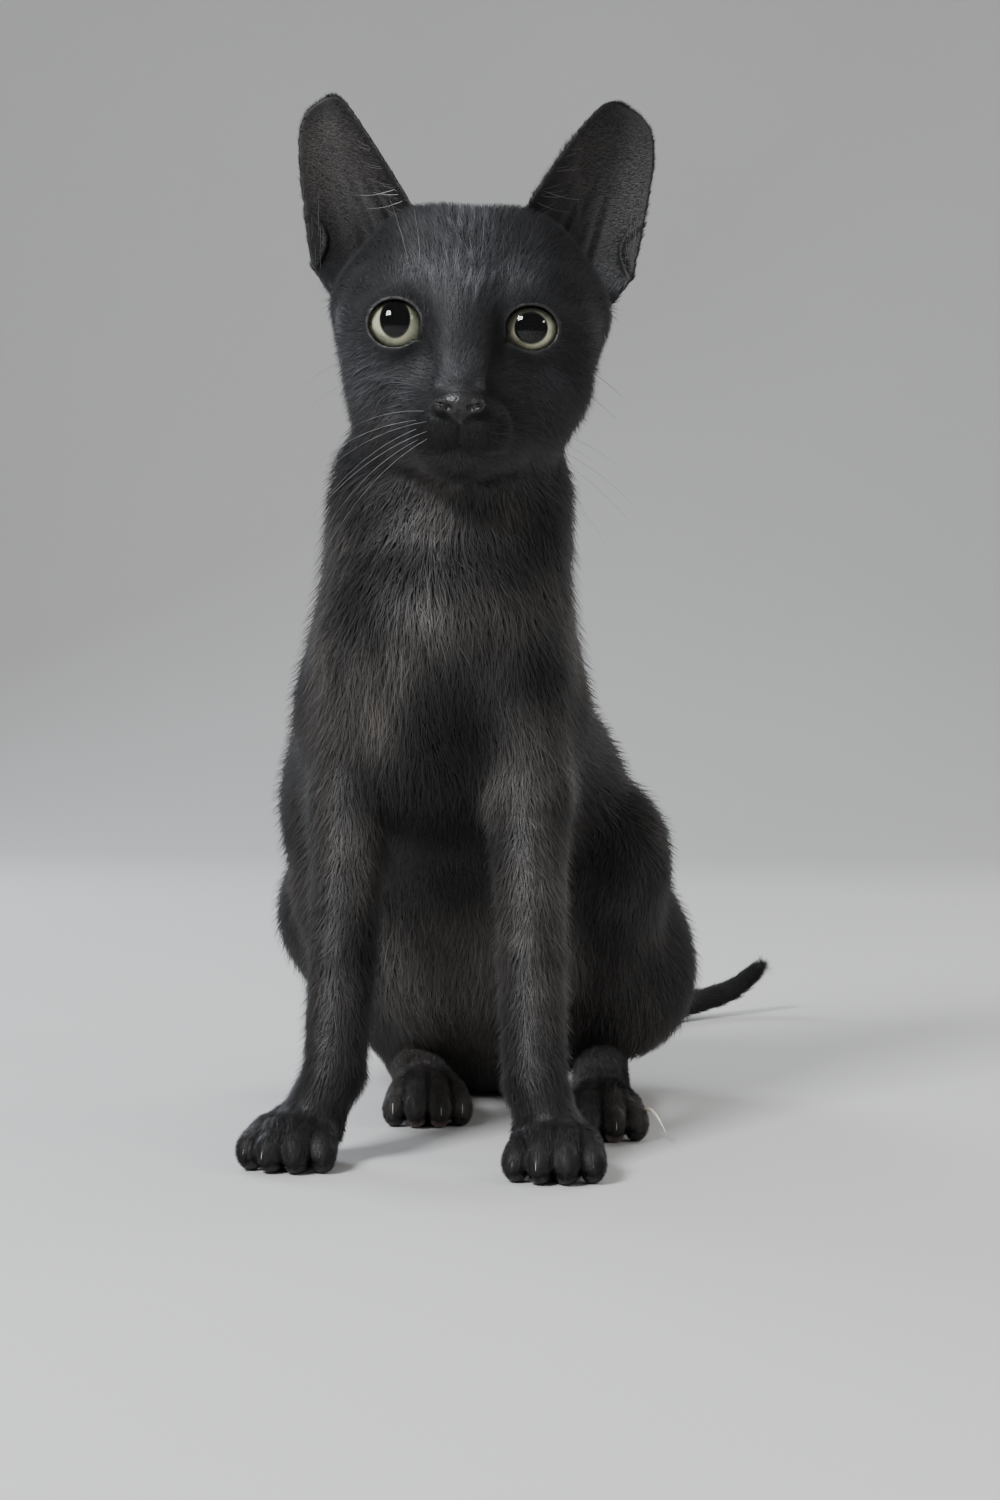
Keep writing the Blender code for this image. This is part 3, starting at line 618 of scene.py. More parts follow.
def decimate(ob, ratio):
    m = ob.modifiers.new("fewer", "DECIMATE")
    m.ratio = ratio
    return apply(ob)


def arrays(ob):
    me = ob.data
    me.calc_loop_triangles()
    v = np.empty(len(me.vertices) * 3, np.float32)
    me.vertices.foreach_get("co", v)
    t = np.empty(len(me.loop_triangles) * 3, np.int32)
    me.loop_triangles.foreach_get("vertices", t)
    return v.reshape(-1, 3).astype(float) * 1000 - SHIFT, t.reshape(-1, 3)


NECK = 190.0
FINE, COARSE = .62, 1.3
SKIN_TRIANGLES = 230000
hv, hq = surface_net((-64, -118, NECK), (66, 6, 320), FINE, skin_field)
bv, bq = surface_net((-80, -136, -2.6), (112, 284, NECK), COARSE, skin_field)
hv, bv = onto(hv, skin_field, 1), onto(bv, skin_field, 1)
bm = bmesh.new()
for name, v, q in (("head_part", hv, hq), ("body_part", bv, bq)):
    ob = mesh_of(name, v, q)
    bm.from_mesh(ob.data)
    bpy.data.objects.remove(ob, do_unlink=True)
near = [e for e in bm.edges if e.is_boundary and abs(e.verts[0].co.z * 1000 - NECK) < 3]
print("rim edges", len(near), "other open edges", [tuple(round(k * 1000) for k in e.verts[0].co) for e in bm.edges if e.is_boundary and e not in near])
bmesh.ops.bridge_loops(bm, edges=near)
bmesh.ops.triangulate(bm, faces=[f for f in bm.faces if len(f.verts) > 3])
seam = [v for v in bm.verts if abs(v.co.z * 1000 - NECK) < 2.6]
for _ in range(8):
    bmesh.ops.smooth_vert(bm, verts=seam, factor=.5, use_axis_x=True, use_axis_y=True, use_axis_z=True)
bmesh.ops.recalc_face_normals(bm, faces=bm.faces)
skin = bpy.data.objects.new("skin", bpy.data.meshes.new("skin"))
bpy.context.scene.collection.objects.link(skin)
bm.to_mesh(skin.data)
bm.free()
decimate(skin, SKIN_TRIANGLES / len(skin.data.polygons))
skin.data.shade_smooth()
V, T = arrays(skin)


def normals_of(v, t):
    n = np.cross(v[t[:, 1]] - v[t[:, 0]], v[t[:, 2]] - v[t[:, 0]])
    out = np.zeros_like(v)
    for k in range(3):
        for c in range(3):
            out[:, c] += np.bincount(t[:, k], n[:, c], len(v))
    return unit(out), np.linalg.norm(n, axis=1) / 2


N, AREA = normals_of(V, T)
print("skin", len(V), "vertices", len(T), "triangles", "area", AREA.sum())
# ------------------------------------------------------------------ what grows where
def gather(p, sigma=2.5):
    """Coat depth, hair length and lie at each point, from the masses near it."""
    near, best = [], np.full(len(p), 99.0)
    for m in MASSES:
        i = np.flatnonzero(((p > m.lo - 9) & (p < m.hi + 9)).all(1))
        if len(i):
            d = m.dist(p[i]) + depth(m)
            near.append((m, i, d))
            best[i] = np.minimum(best[i], d)
    w, coat, hair, flow = np.full(len(p), 1e-6), np.full(len(p), 4e-6), np.full(len(p), 9e-6), np.zeros((len(p), 3))
    for m, i, d in near:
        k = np.exp(-np.clip(d - best[i], 0, 40) / sigma)
        w[i] += k
        coat[i] += k * depth(m)
        hair[i] += k * m.hair
        flow[i] += k[:, None] * m.flow
    return coat / w, hair / w, flow / w[:, None]


def on_head(p):
    """1 on the head, 0 below the nape and throat."""
    h = to_head(p)
    return smooth01(h[:, 2] + .45 * np.clip(h[:, 1], -10, 60) * .6, -52, -34)


def head_flow(p):
    h = to_head(p)
    d = unit(h - np.array([0, -30.0, -25.0]))
    cheek = smooth01(np.abs(h[:, 0]), 14, 26) * smooth01(h[:, 2], 4, -12)
    d = d + cheek[:, None] * np.array([0, .3, -.75])
    side = np.sign(h[:, 0])
    back = smooth01(h[:, 1], 4, 22)[:, None]
    d = d * (1 - back) + back * np.stack([np.zeros(len(h)), np.ones(len(h)), np.full(len(h), -1.3)], 1)
    # under the chin the hair runs back towards the throat
    under = (smooth01(h[:, 2], -38, -46) * smooth01(h[:, 1], -22, -8))[:, None]
    d = d * (1 - under) + under * np.array([0, 1.0, -.5])
    # it parts round each eye
    for s in (1, -1):
        q = h - np.array([s * EYE_X, 0, EYE_Z])
        r = np.linalg.norm(q, axis=1)
        d = d + (.55 * np.exp(-((r - 12) / 4) ** 2))[:, None] * unit(q * np.array([1, .3, 1]))
    return unit(d) @ HEAD_R.T


LEATHER_Z = np.array([-31.6, -30.6, -29.0, -27.6, -26.0, -24.4, -23.3, -22.6])
LEATHER_W = np.array([.2, 1.0, 3.3, 6.6, 7.3, 6.4, 4.4, .3])


def zones(p):
    """Bare nose leather, lid margins, lips and the inside of the ears, each 0..1."""
    h = to_head(p)
    wide = np.interp(h[:, 2], LEATHER_Z, LEATHER_W, left=-3, right=-3)
    leather = smooth01(wide - np.abs(h[:, 0]), -.5, .5) * (h[:, 1] < -20)
    lid = np.zeros(len(p))
    for s in (1, -1):
        c, x, z, fw = eye_axes(s)
        q = p - c
        r = np.linalg.norm(q, axis=1)
        e = opening(q @ x, q @ z, s)
        lid = np.maximum(lid, smooth01(e, .95, .45) * ((q @ fw) > 1.5) * (r < EYE_R + 3))
    lip = np.zeros(len(p))
    i = np.flatnonzero((h[:, 1] < 0) & (h[:, 2] < -24) & (h[:, 2] > -44) & (np.abs(h[:, 0]) < 20))
    if len(i):
        d = np.minimum(line_dist(h[i], MOUTH, 0), line_dist(h[i], MOUTH * np.array([-1, 1, 1]), 0))
        d = np.minimum(d, line_dist(h[i], PHILTRUM, -.25))
        lip[i] = smooth01(d, .85, .4)
    inner, ear = np.zeros(len(p)), np.zeros(len(p))
    for e in EARS:
        i = np.flatnonzero((np.abs(p - e.o) < 62).all(1))
        u, v, w = ear_local(e, p[i])
        mid, half, x, cup = e.leaf(u, v)
        sheet = cup * x ** 2.2 - cup * .6
        on = smooth01(ear_dist(e, p[i]), 1.6, .5) * smooth01(v, -12, -4)
        ear[i] = np.maximum(ear[i], on)
        inner[i] = np.maximum(inner[i], on * smooth01(w - sheet, -.1, .5) * smooth01(x, 1.0, .93) * smooth01(v, -9, 0) * smooth01(e.long - v, .6, 2.2))
    return leather, lid, lip, inner, ear


def ear_flow(p, flow, inner, ear):
    for e in EARS:
        i = np.flatnonzero((np.abs(p - e.o) < 62).all(1))
        u, v, w = ear_local(e, p[i])
        mid, half, _, _ = e.leaf(u, v)
        x = np.clip((u - mid) / half, -1, 1)
        up = e.axes[:, 1][None] * .95 - e.axes[:, 0][None] * (x * .18)[:, None]
        across = e.axes[:, 1][None] * .55 + e.axes[:, 0][None] * .8
        d = up * (1 - inner[i])[:, None] + across * inner[i][:, None]
        flow[i] = flow[i] * (1 - ear[i])[:, None] + d * ear[i][:, None]
    return flow


def edges_of(t):
    e = np.concatenate([t[:, [0, 1]], t[:, [1, 2]], t[:, [2, 0]]])
    return np.unique(np.sort(e, 1), axis=0)


def relax(values, e, n, rounds):
    deg = np.bincount(e.ravel(), minlength=n)[:, None] + 1e-9
    for _ in range(rounds):
        s = np.zeros_like(values)
        for c in range(values.shape[1]):
            s[:, c] = np.bincount(e[:, 0], values[e[:, 1], c], n) + np.bincount(e[:, 1], values[e[:, 0], c], n)
        values = values * .4 + .6 * s / deg
    return values


def along_band(p, a, b):
    """Where p lies between a and b, 0..1 along, and its distance from that line."""
    a, b = np.array(a, float), np.array(b, float)
    t = (p - a) @ (b - a) / ((b - a) @ (b - a))
    return t, np.linalg.norm(p - a - np.clip(t, 0, 1)[:, None] * (b - a), axis=1)


# soft lights on the front of the neck, breast and forelegs: x, z, half sizes, how pale
LIT = ((-26, 202, 9, 3.6, .9), (-15, 198, 8, 3.4, .85), (-6, 194, 7, 3.0, .8), (18, 198, 10, 5, .32), (-11, 184, 10, 3.9, 1.0), (12, 185, 8, 5, .36),
       (-7, 175, 5.5, 2.6, .95), (-35, 178, 6, 4, .5), (-8, 156, 9, 9, 1.0), (13, 157, 9, 8, .55), (-17, 144, 4, 5.5, .95), (-27, 134, 8, 15, .55),
       (-23, 124, 4, 8, .6), (-40, 140, 6, 32, .5), (15, 110, 6, 13, .6), (24, 116, 6, 16, .5), (8, 101, 4, 8, .85), (9, 62, 4.5, 9, .85),
       (20, 84, 8, 18, .38), (24, 52, 8, 24, .36), (-38, 101, 5, 7, .7), (-30, 86, 4.5, 13, .5), (-40, 64, 5, 30, .32), (-34, 40, 6, 14, .3))
# and its darkest places: dark bands across the throat, and painted shade on the chest between the forelegs
DEEP_AND_SHADE = ((-26, 171, 16, 4.2, .95), (-8, 167.5, 17, 4.0, 1.0), (16, 170, 14, 5, .85), (24, 180, 12, 8, .75), (-22, 191, 14, 3.0, .8), (2, 179.5, 18, 2.4, .7), (-30, 182, 8, 5, .5),
        (-3, 120, 15, 19, 1.0), (-6, 84, 17, 24, .9), (22, 138, 8, 7, .55), (-30, 160, 7, 6, .5), (30, 200, 9, 9, .5))


def markings(p):
    """Brown-grey thinness of the black, with painted light and highlights added, 0..1, and ghost bands and deepest
    blacks with painted shade added, 0..1, on points of the skin.
    """
    head = on_head(p)
    h = to_head(p)
    wob = np.stack([noise(p, 11, 61), noise(p, 11, 62), noise(p, 11, 63)], 1)
    soft = .5 + .5 * noise(p, 16, 3)
    mid = .5 + .5 * noise(p, 7, 4)
    x, y, z = (p + 3.0 * wob).T
    pale = .02 + .26 * soft ** 2 + .16 * mid * soft
    ring = np.zeros(len(p))
    facing = smooth01(y, -42, -62) * (1 - head)
    # paler hair with painted soft light on the front of the neck, breast and forelegs
    for cx, cz, rx, rz, gain in LIT:
        pale = pale + gain * np.exp(-((x - cx) / rx) ** 2 - ((z - cz) / rz) ** 2) * facing * (.56 + .38 * mid)
    # dark throat bands, and painted shade on the chest between the forelegs
    for cx, cz, rx, rz, gain in DEEP_AND_SHADE:
        ring = np.maximum(ring, gain * np.exp(-(((x - cx) / rx) ** 2 + ((z - cz) / rz) ** 2) ** 1.5) * facing)
    # belly and insides of the thighs are thinner
    pale = pale + .65 * smooth01(z, 82, 56) * smooth01(y, -40, -14) * smooth01(y, 30, 5) * np.exp(-((x + 3) / 34) ** 2)
    # face: black muzzle, lids and chin; grey brow, cheeks and forehead streaks; the cat's right cheek and whisker pad
    # paler with painted light, two painted highlights on the nose, painted shade on the left cheek
    hx, hy, hz = (h + 1.2 * wob).T
    face = .05 + .20 * np.exp(-((np.abs(hx) - 15) / 8) ** 2 - ((hz - 15) / 4.5) ** 2)
    streak = np.clip(.5 + .5 * np.sin(hx * 1.9 + 3.0 * noise(p, 9, 64)), 0, 1) ** 2
    face = face + .60 * np.exp(-(hx / 9) ** 2) * smooth01(hz, 0, 13) * smooth01(h[:, 1], 34, 8) * (.25 + .75 * streak)
    # painted light on the lit side: the cat's right cheek and whisker pad much paler than its left
    face = face + .34 * np.exp(-((hx + 28) / 8) ** 2 - ((hz + 15) / 14) ** 2) + .10 * np.exp(-((hx - 28) / 8) ** 2 - ((hz + 15) / 13) ** 2)
    face = face + .20 * np.exp(-((hx + 18) / 6) ** 2 - ((hz + 25) / 7) ** 2)
    face = face + .26 * np.exp(-(hx / 5.2) ** 2 - ((hz + 15) / 5.5) ** 2) * smooth01(h[:, 1], -6, -12)
    # two painted highlights on the upper corners of the nose
    face = face + .55 * np.exp(-((np.abs(h[:, 0]) - 5.2) / 1.3) ** 2 - ((h[:, 2] + 20.6) / 1.5) ** 2)
    face = face + .16 * (soft - .5)
    pale = pale * (1 - head) + face * head
    for s in (1, -1):
        q = h - np.array([s * EYE_X, -3, EYE_Z])
        r = np.linalg.norm(q * np.array([1, .6, 1]), axis=1)
        ring = np.maximum(ring, np.exp(-np.clip((r - 8.5) / 4.0, 0, 9) ** 2) * head * .9)
        ring = np.maximum(ring, head * .75 * np.exp(-((h[:, 0] - s * 9) / 4) ** 2 - ((h[:, 2] + 3) / 9) ** 2))
    ring = np.maximum(ring, head * .95 * np.exp(-np.clip(np.linalg.norm((h - np.array([0, -24, -34])) / np.array([23, 27, 12]), axis=1) - .5, 0, 9) ** 2 * 6) * smooth01(h[:, 2], -20, -23))
    ring = np.maximum(ring, head * .8 * smooth01(np.abs(h[:, 0] - 1), 17, 25) * smooth01(h[:, 2], 2, 9) * smooth01(h[:, 1], 30, 12))
    # painted shade on the cat's left cheek, the side away from the light
    ring = np.maximum(ring, head * .6 * smooth01(h[:, 0], 24, 32) * smooth01(h[:, 2], -26, -12))
    ring = np.maximum(ring, head * (.34 + .3 * mid) * np.exp(-(hx / 6.5) ** 2 - ((hz + 9) / 8.5) ** 2))
    # ghost bands
    neck = z + .35 * y
    ring = np.maximum(ring, smooth01(np.abs(((neck - 130) / 17) % 1 - .5), .32, .5) * smooth01(z, 118, 140) * (1 - head) * .34 * (1 - facing))
    side = y + .55 * z + 6 * noise(p, 28, 9)
    ring = np.maximum(ring, smooth01(np.abs((side / 19) % 1 - .5), .3, .5) * smooth01(np.abs(x + 6), 20, 40) * smooth01(z, 26, 50) * smooth01(z, 150, 120) * .26)
    ring = np.maximum(ring, smooth01(np.abs((z / 14) % 1 - .5), .3, .5) * smooth01(y, -56, -70) * smooth01(z, 118, 100) * smooth01(z, 16, 30) * .45)
    ring = np.maximum(ring, .8 * smooth01(y, 88, 104))
    # painted shade in the grooves between the toes, and the black of the whole tail
    i = np.flatnonzero(p[:, 2] < 30)
    first, second = np.full(len(i), 99.0), np.full(len(i), 99.0)
    for m in MASSES:
        if "_toe" in m.name:
            d = m.dist(p[i])
            second = np.minimum(second, np.maximum(first, d))
            first = np.minimum(first, d)
    # painted shade: how deep a point lies in the cleft between two toes
    toe_groove_shade = smooth01(second - first, 1.5, .15) * smooth01(first, 3.5, 1.5)
    toe_groove_shade_all = np.zeros(len(p))
    toe_groove_shade_all[i] = toe_groove_shade
    ring[i] = np.maximum(ring[i], toe_groove_shade)
    pale[i] = pale[i] * (1 - .8 * toe_groove_shade)
    pale = pale * (1 - .9 * smooth01(p[:, 1], 82, 104))
    paws = smooth01(p[:, 2], 30, 16)
    pale = pale * (1 - .35 * paws * smooth01(p[:, 1], 60, 20)) + .16 * paws * mid * (1 - .8 * toe_groove_shade_all)
    pale = pale * (1 - .3 * smooth01(p[:, 2], 50, 28) * facing)
    pale = pale + .26 * paws * smooth01(p[:, 1], -78, -66) * (.5 + .5 * mid) * (1 - .8 * toe_groove_shade_all) * smooth01(p[:, 1], 60, 20)
    return np.clip(pale, 0, 1), np.clip(ring, 0, 1)


COAT_V, HAIR_V, FLOW_V = gather(V)
HEAD_V = on_head(V)
FLOW_V = FLOW_V * (1 - HEAD_V)[:, None] + head_flow(V) * HEAD_V[:, None]
LEATHER_V, LID_V, LIP_V, INNER_V, EAR_V = zones(V)
FLOW_V = ear_flow(V, FLOW_V, INNER_V, EAR_V)
FLOW_V = unit(FLOW_V - N * (FLOW_V * N).sum(1, keepdims=True))
E = edges_of(T)
FLOW_V = relax(FLOW_V, E, len(V), 14)
FLOW_V = unit(FLOW_V - N * (FLOW_V * N).sum(1, keepdims=True))
NS = unit(relax(N, E, len(V), 6))                     # calmer normals to stand the coat on
PALE_V, RING_V = markings(V)
h = to_head(V)
near_eye = np.minimum(np.linalg.norm(h - np.array([EYE_X, 0, EYE_Z]), axis=1), np.linalg.norm(h - np.array([-EYE_X, 0, EYE_Z]), axis=1))
lids = smooth01(near_eye, 16.5, 11.2) * HEAD_V
muzzle = smooth01(np.linalg.norm((h - np.array([0, -27, -28])) / np.array([1, 1.2, 1]), axis=1), 17, 5) * HEAD_V
HAIR_V = HAIR_V * (1 - .55 * lids) * (1 - .55 * muzzle)
COAT_V = COAT_V * (1 - .5 * lids) * (1 - .35 * muzzle)
HAIR_V = HAIR_V * (1 - EAR_V) + EAR_V * (2.3 - .4 * INNER_V)
COAT_V = COAT_V * (1 - EAR_V) + EAR_V * .32
BARE_V = np.clip(LEATHER_V + LID_V + LIP_V, 0, 1)

# ------------------------------------------------------------------ the skin's unwrap, which also places every tuft's patch
flat = mesh_of("unwrap", V, T)
decimate(flat, 11000 / len(T))
bpy.context.view_layer.objects.active = flat
flat.select_set(True)
bpy.ops.object.mode_set(mode="EDIT")
bpy.ops.mesh.select_all(action="SELECT")
bpy.ops.uv.smart_project(angle_limit=math.radians(66), island_margin=.004)
bpy.ops.object.mode_set(mode="OBJECT")
FV, FT = arrays(flat)
uv = np.empty(len(flat.data.loops) * 2, np.float32)
flat.data.uv_layers.active.data.foreach_get("uv", uv)
loops = np.empty(len(flat.data.loop_triangles) * 3, np.int32)
flat.data.loop_triangles.foreach_get("loops", loops)
FUV = uv.reshape(-1, 2)[loops.reshape(-1, 3)].astype(float)
bpy.data.objects.remove(flat, do_unlink=True)
TREE = BVHTree.FromPolygons(FV.tolist(), FT.tolist(), all_triangles=True)


def unwrap_at(p):
    """Where points of the skin fall on its unwrap."""
    idx = np.array([TREE.find_nearest(q)[2] for q in p.tolist()])
    a, b, c = FV[FT[idx, 0]], FV[FT[idx, 1]], FV[FT[idx, 2]]
    v0, v1, v2 = b - a, c - a, p - a
    d00, d01, d11 = (v0 * v0).sum(1), (v0 * v1).sum(1), (v1 * v1).sum(1)
    d20, d21 = (v2 * v0).sum(1), (v2 * v1).sum(1)
    den = d00 * d11 - d01 * d01 + 1e-12
    v, w = (d11 * d20 - d01 * d21) / den, (d00 * d21 - d01 * d20) / den
    w3 = np.clip(np.stack([1 - v - w, v, w], 1), 0, 1)
    w3 /= w3.sum(1, keepdims=True)
    return (FUV[idx] * w3[:, :, None]).sum(1)


# ------------------------------------------------------------------ roots
def scatter(weight, count, seed):
    """Roots on the skin: triangle and barycentric weights, `weight` per triangle."""
    r = np.random.default_rng(seed)
    cum = np.cumsum(weight)
    step = cum[-1] / count
    tri = np.searchsorted(cum, (np.arange(count) + r.random(count)) * step)
    tri = np.minimum(tri, len(weight) - 1)
    a, b = r.random(count), r.random(count)
    k = a + b > 1
    a[k], b[k] = 1 - a[k], 1 - b[k]
    return tri, np.stack([1 - a - b, a, b], 1)


def at(values, tri, bary):
    v = values[T[tri]]
    return (v * (bary if v.ndim == 2 else bary[:, :, None])).sum(1)


def clump(p, cell, seed):
    """The nearest of the jittered centres of a grid of that cell size."""
    q = p / cell
    base = np.floor(q).astype(np.int64)
    best, out = np.full(len(p), 1e9), np.zeros_like(p)
    for k in range(27):
        c = base + np.array([k % 3 - 1, (k // 3) % 3 - 1, k // 9 - 1])
        h = (c[:, 0] * 73856093 ^ c[:, 1] * 19349663 ^ c[:, 2] * 83492791 ^ seed * 7919) & 0xFFFFFFFF
        j = np.stack([((h * m) >> 7) & 1023 for m in (2654435761, 2246822519, 3266489917)], 1) / 1023
        o = (c + .15 + .7 * j) * cell
        d = ((o - p) ** 2).sum(1)
        m = d < best
        best[m], out[m] = d[m], o[m]
    return out


def surface_pull(tip, ear, n, room):
    """Bring points that stand out of the coat's outline back to within `room` of it."""
    for _ in range(2):
        f = np.minimum(body_field(tip, 4.0), 3)
        tip = tip - n * (np.clip(f - room, 0, 2) * (ear < .05))[:, None]
    return tip


def tufts(tri, bary, seed, long_scale=1.0, lift=1.0, wide=1.0, kind="tet", swirl=1.0, clumping=.4, cell=3.4):
    r = np.random.default_rng(seed)
    k = len(tri)
    p, n = at(V, tri, bary), unit(at(NS, tri, bary))
    d = at(FLOW_V, tri, bary)
    d = unit(d - n * (d * n).sum(1, keepdims=True))
    b = np.cross(n, d)
    hair, coat, head = at(HAIR_V, tri, bary), at(COAT_V, tri, bary), at(HEAD_V, tri, bary)
    ear = at(EAR_V, tri, bary)
    ang = swirl * (.24 * noise(p, 15, 21) + .24 * noise(p, 5, 22) + r.normal(0, .20, k))
    hp = to_head(p)
    cheek = smooth01(np.abs(hp[:, 0] - SKULL_X), 24, 30) * smooth01(hp[:, 2], 2, -8) * head
    stray = (r.random(k) < .15) * np.maximum(1 - head, .8 * cheek) * (1 - ear) * smooth01(p[:, 2], 20, 34)
    d = unit(d * np.cos(ang)[:, None] + b * np.sin(ang)[:, None])
    L = hair * long_scale * r.uniform(.72, 1.12, k)
    # neighbours lean together into locks
    c = clump(p + d * L[:, None] * .5, cell, seed=5)
    pull = c - (p + d * L[:, None] * .5)
    pull -= n * (pull * n).sum(1, keepdims=True)
    lean = clumping * (1 - .7 * ear) * np.minimum(1, L / 6)
    tall = coat * lift * (r.uniform(.55, 1.03, k) + .12 * noise(p, 4.2, 31) + .8 * stray)
    tall = tall * (1 - .5 * smooth01(p[:, 1], 84, 100))
    tall = np.minimum(tall, L * .75)
    reach = np.sqrt(np.maximum(L ** 2 - tall ** 2, (L * .5) ** 2))
    tip = p + d * reach[:, None] + n * tall[:, None] + pull * lean[:, None]
    mid = p + d * (reach * .42)[:, None] + n * (tall * .72)[:, None] + pull * (lean * .3)[:, None]
    tip = surface_pull(tip, ear, n, .25 + 2.1 * stray)
    mid = surface_pull(mid, ear, n, .0)
    root = p - n * (.25 + .1 * coat)[:, None] - d * (.06 * L)[:, None]
    for q in (root, mid, tip):
        q[:, 2] = np.maximum(q[:, 2], .15)
    W = wide * (.085 + .022 * L) * r.uniform(.7, 1.3, k)
    b = np.cross(n, unit(tip - root))
    up = unit(np.cross(unit(tip - root), b))
    if kind == "tet":
        base = root + (mid - root) * .3
        v = np.stack([base + b * (W * .55)[:, None] - up * (W * .2)[:, None], base - b * (W * .55)[:, None] - up * (W * .2)[:, None], base + up * (W * .3)[:, None], tip], 1)
        f = np.array([[1, 0, 3], [2, 1, 3], [0, 2, 3], [0, 1, 2]])
        s = np.array([.15, .15, .15, 1.0])
        own = np.stack([b - .35 * up, -b - .35 * up, up, up], 1)
    else:
        v = np.stack([root, mid + b * (W * .5)[:, None] - up * (W * .18)[:, None], mid - b * (W * .5)[:, None] - up * (W * .18)[:, None], mid + up * (W * .28)[:, None], tip], 1)
        f = np.array([[0, 1, 2], [0, 2, 3], [0, 3, 1], [2, 1, 4], [3, 2, 4], [1, 3, 4]])
        s = np.array([0, .5, .5, .5, 1.0])
        own = np.stack([up, b - .35 * up, -b - .35 * up, up, up], 1)
    q = hp - .86 * d * (hp * d).sum(1, keepdims=True)
    streak = noise(q, 1.15, 43) * head * (1 - ear) + .5 * noise(q, 2.1, 44) * (1 - head)
    tone = np.clip(.5 + .5 * ((.5 + .4 * head) * streak + .10 * noise(p, 2.6, 41) + .26 * noise(p, 9, 42) + (.34 + .3 * head) * r.normal(0, .6, k)), 0, 1)
    near, far = ([np.concatenate(q_) for q_ in zip(*[markings(part) for part in np.array_split(p + d * (reach * t_)[:, None], max(1, k // 40000))])] for t_ in (.13, 1.0))
    pale, ring = (near[i][:, None] * (1 - s[None]) + far[i][:, None] * s[None] for i in (0, 1))
    shine = 1 + 1.2 * (r.random(k) < .07) * (1 - far[1])
    col = np.zeros((k, len(s), 4), np.float32)
    cup = at(INNER_V, tri, bary)
    col[:, :, 0] = s * (shine * (1 - .75 * cup))[:, None]
    col[:, :, 1] = (tone * (1 - .6 * cup))[:, None]
    col[:, :, 2] = np.clip(pale * np.clip(1 + (1.1 + .9 * head) * streak, .1, 2.4)[:, None], 0, 1)
    col[:, :, 3] = ring
    uv = np.clip(unwrap_at(p), .003, .997)
    if kind == "tet":
        o = np.array([[-.0015, -.0015], [.0015, -.0015], [.0002, -.0006], [0, .0015]])
    else:
        o = np.array([[0, -.0015], [-.0015, 0], [.0015, 0], [.0003, .0003], [0, .0015]])
    uv = uv[:, None] + o[None]
    lit = unit(n[:, None] + (.30 + .55 * head)[:, None, None] * own)
    return v.reshape(-1, 3), (f[None] + (np.arange(k) * len(s))[:, None, None]).reshape(-1, 3), col.reshape(-1, 4), uv.reshape(-1, 2), lit.reshape(-1, 3)


def coat_piece(name, v, f, col, uv, lit, material):
    ob = mesh_of(name, v, f)
    me = ob.data
    me.shade_smooth()
    me.normals_split_custom_set_from_vertices(lit.astype(np.float32))
    a = me.attributes.new("fur", "FLOAT_COLOR", "POINT")
    a.data.foreach_set("color", np.ascontiguousarray(col, np.float32).ravel())
    layer = me.uv_layers.new(name="OFBake")
    layer.data.foreach_set("uv", np.ascontiguousarray(uv[f.ravel()], np.float32).ravel())
    me.materials.append(material)
    ride_as(ob)
    return ob


def ride_as(ob):
    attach(ob, "root")


# ------------------------------------------------------------------ materials
class Nodes:
    """A few words for wiring a material."""

    def __init__(self, name):
        self.m = bpy.data.materials.new(name)
        self.m.use_nodes = True
        self.t = self.m.node_tree
        self.b = self.t.nodes["Principled BSDF"]

    def node(self, kind, **inputs):
        n = self.t.nodes.new(kind)
        for k, v in inputs.items():
            self.put(n.inputs[k.replace("_", " ")] if k.replace("_", " ") in n.inputs else n.inputs[int(k[1:])], v)
        return n

    def put(self, socket, v):
        if hasattr(v, "is_output"):
            self.t.links.new(v, socket)
        else:
            socket.default_value = (*v, 1) if isinstance(v, tuple) and len(v) == 3 and socket.type == "RGBA" else v

    def set(self, **kw):
        for k, v in kw.items():
            self.put(self.b.inputs[k.replace("_", " ")], v)
        return self

    def attr(self, name):
        n = self.node("ShaderNodeAttribute")
        n.attribute_name = name
        return n

    def split(self, colour):
        n = self.node("ShaderNodeSeparateColor")
        self.put(n.inputs[0], colour)
        return n.outputs

    def math(self, op, a, b=0.0, clamp=False):
        n = self.node("ShaderNodeMath")
        n.operation, n.use_clamp = op, clamp
        self.put(n.inputs[0], a)
        self.put(n.inputs[1], b)
        return n.outputs[0]

    def mix(self, t, a, b, mode="MIX"):
        n = self.node("ShaderNodeMix")
        n.data_type, n.blend_type, n.clamp_factor = "RGBA", mode, True
        self.put(n.inputs[0], t)
        self.put(n.inputs[6], a)
        self.put(n.inputs[7], b)
        return n.outputs[2]

    def ramp(self, t, *stops):
        n = self.node("ShaderNodeValToRGB")
        self.put(n.inputs[0], t)
        e = n.color_ramp.elements
        while len(e) < len(stops):
            e.new(.5)
        for k, (at_, c) in zip(e, stops):
            k.position = at_
            k.color = (*c, 1) if isinstance(c, tuple) else (c, c, c, 1)
        return n.outputs[0]

    def coords(self):
        return self.node("ShaderNodeTexCoord").outputs["Object"]

    def noise(self, scale, detail=3.0, rough=.55, where=None):
        n = self.node("ShaderNodeTexNoise", Scale=scale, Detail=detail, Roughness=rough)
        self.put(n.inputs["Vector"], where or self.coords())
        return n.outputs[0]

    def bump(self, height, distance, strength=1.0):
        n = self.node("ShaderNodeBump", Strength=strength, Distance=distance)
        self.put(n.inputs["Height"], height)
        self.put(self.b.inputs["Normal"], n.outputs[0])
        return self


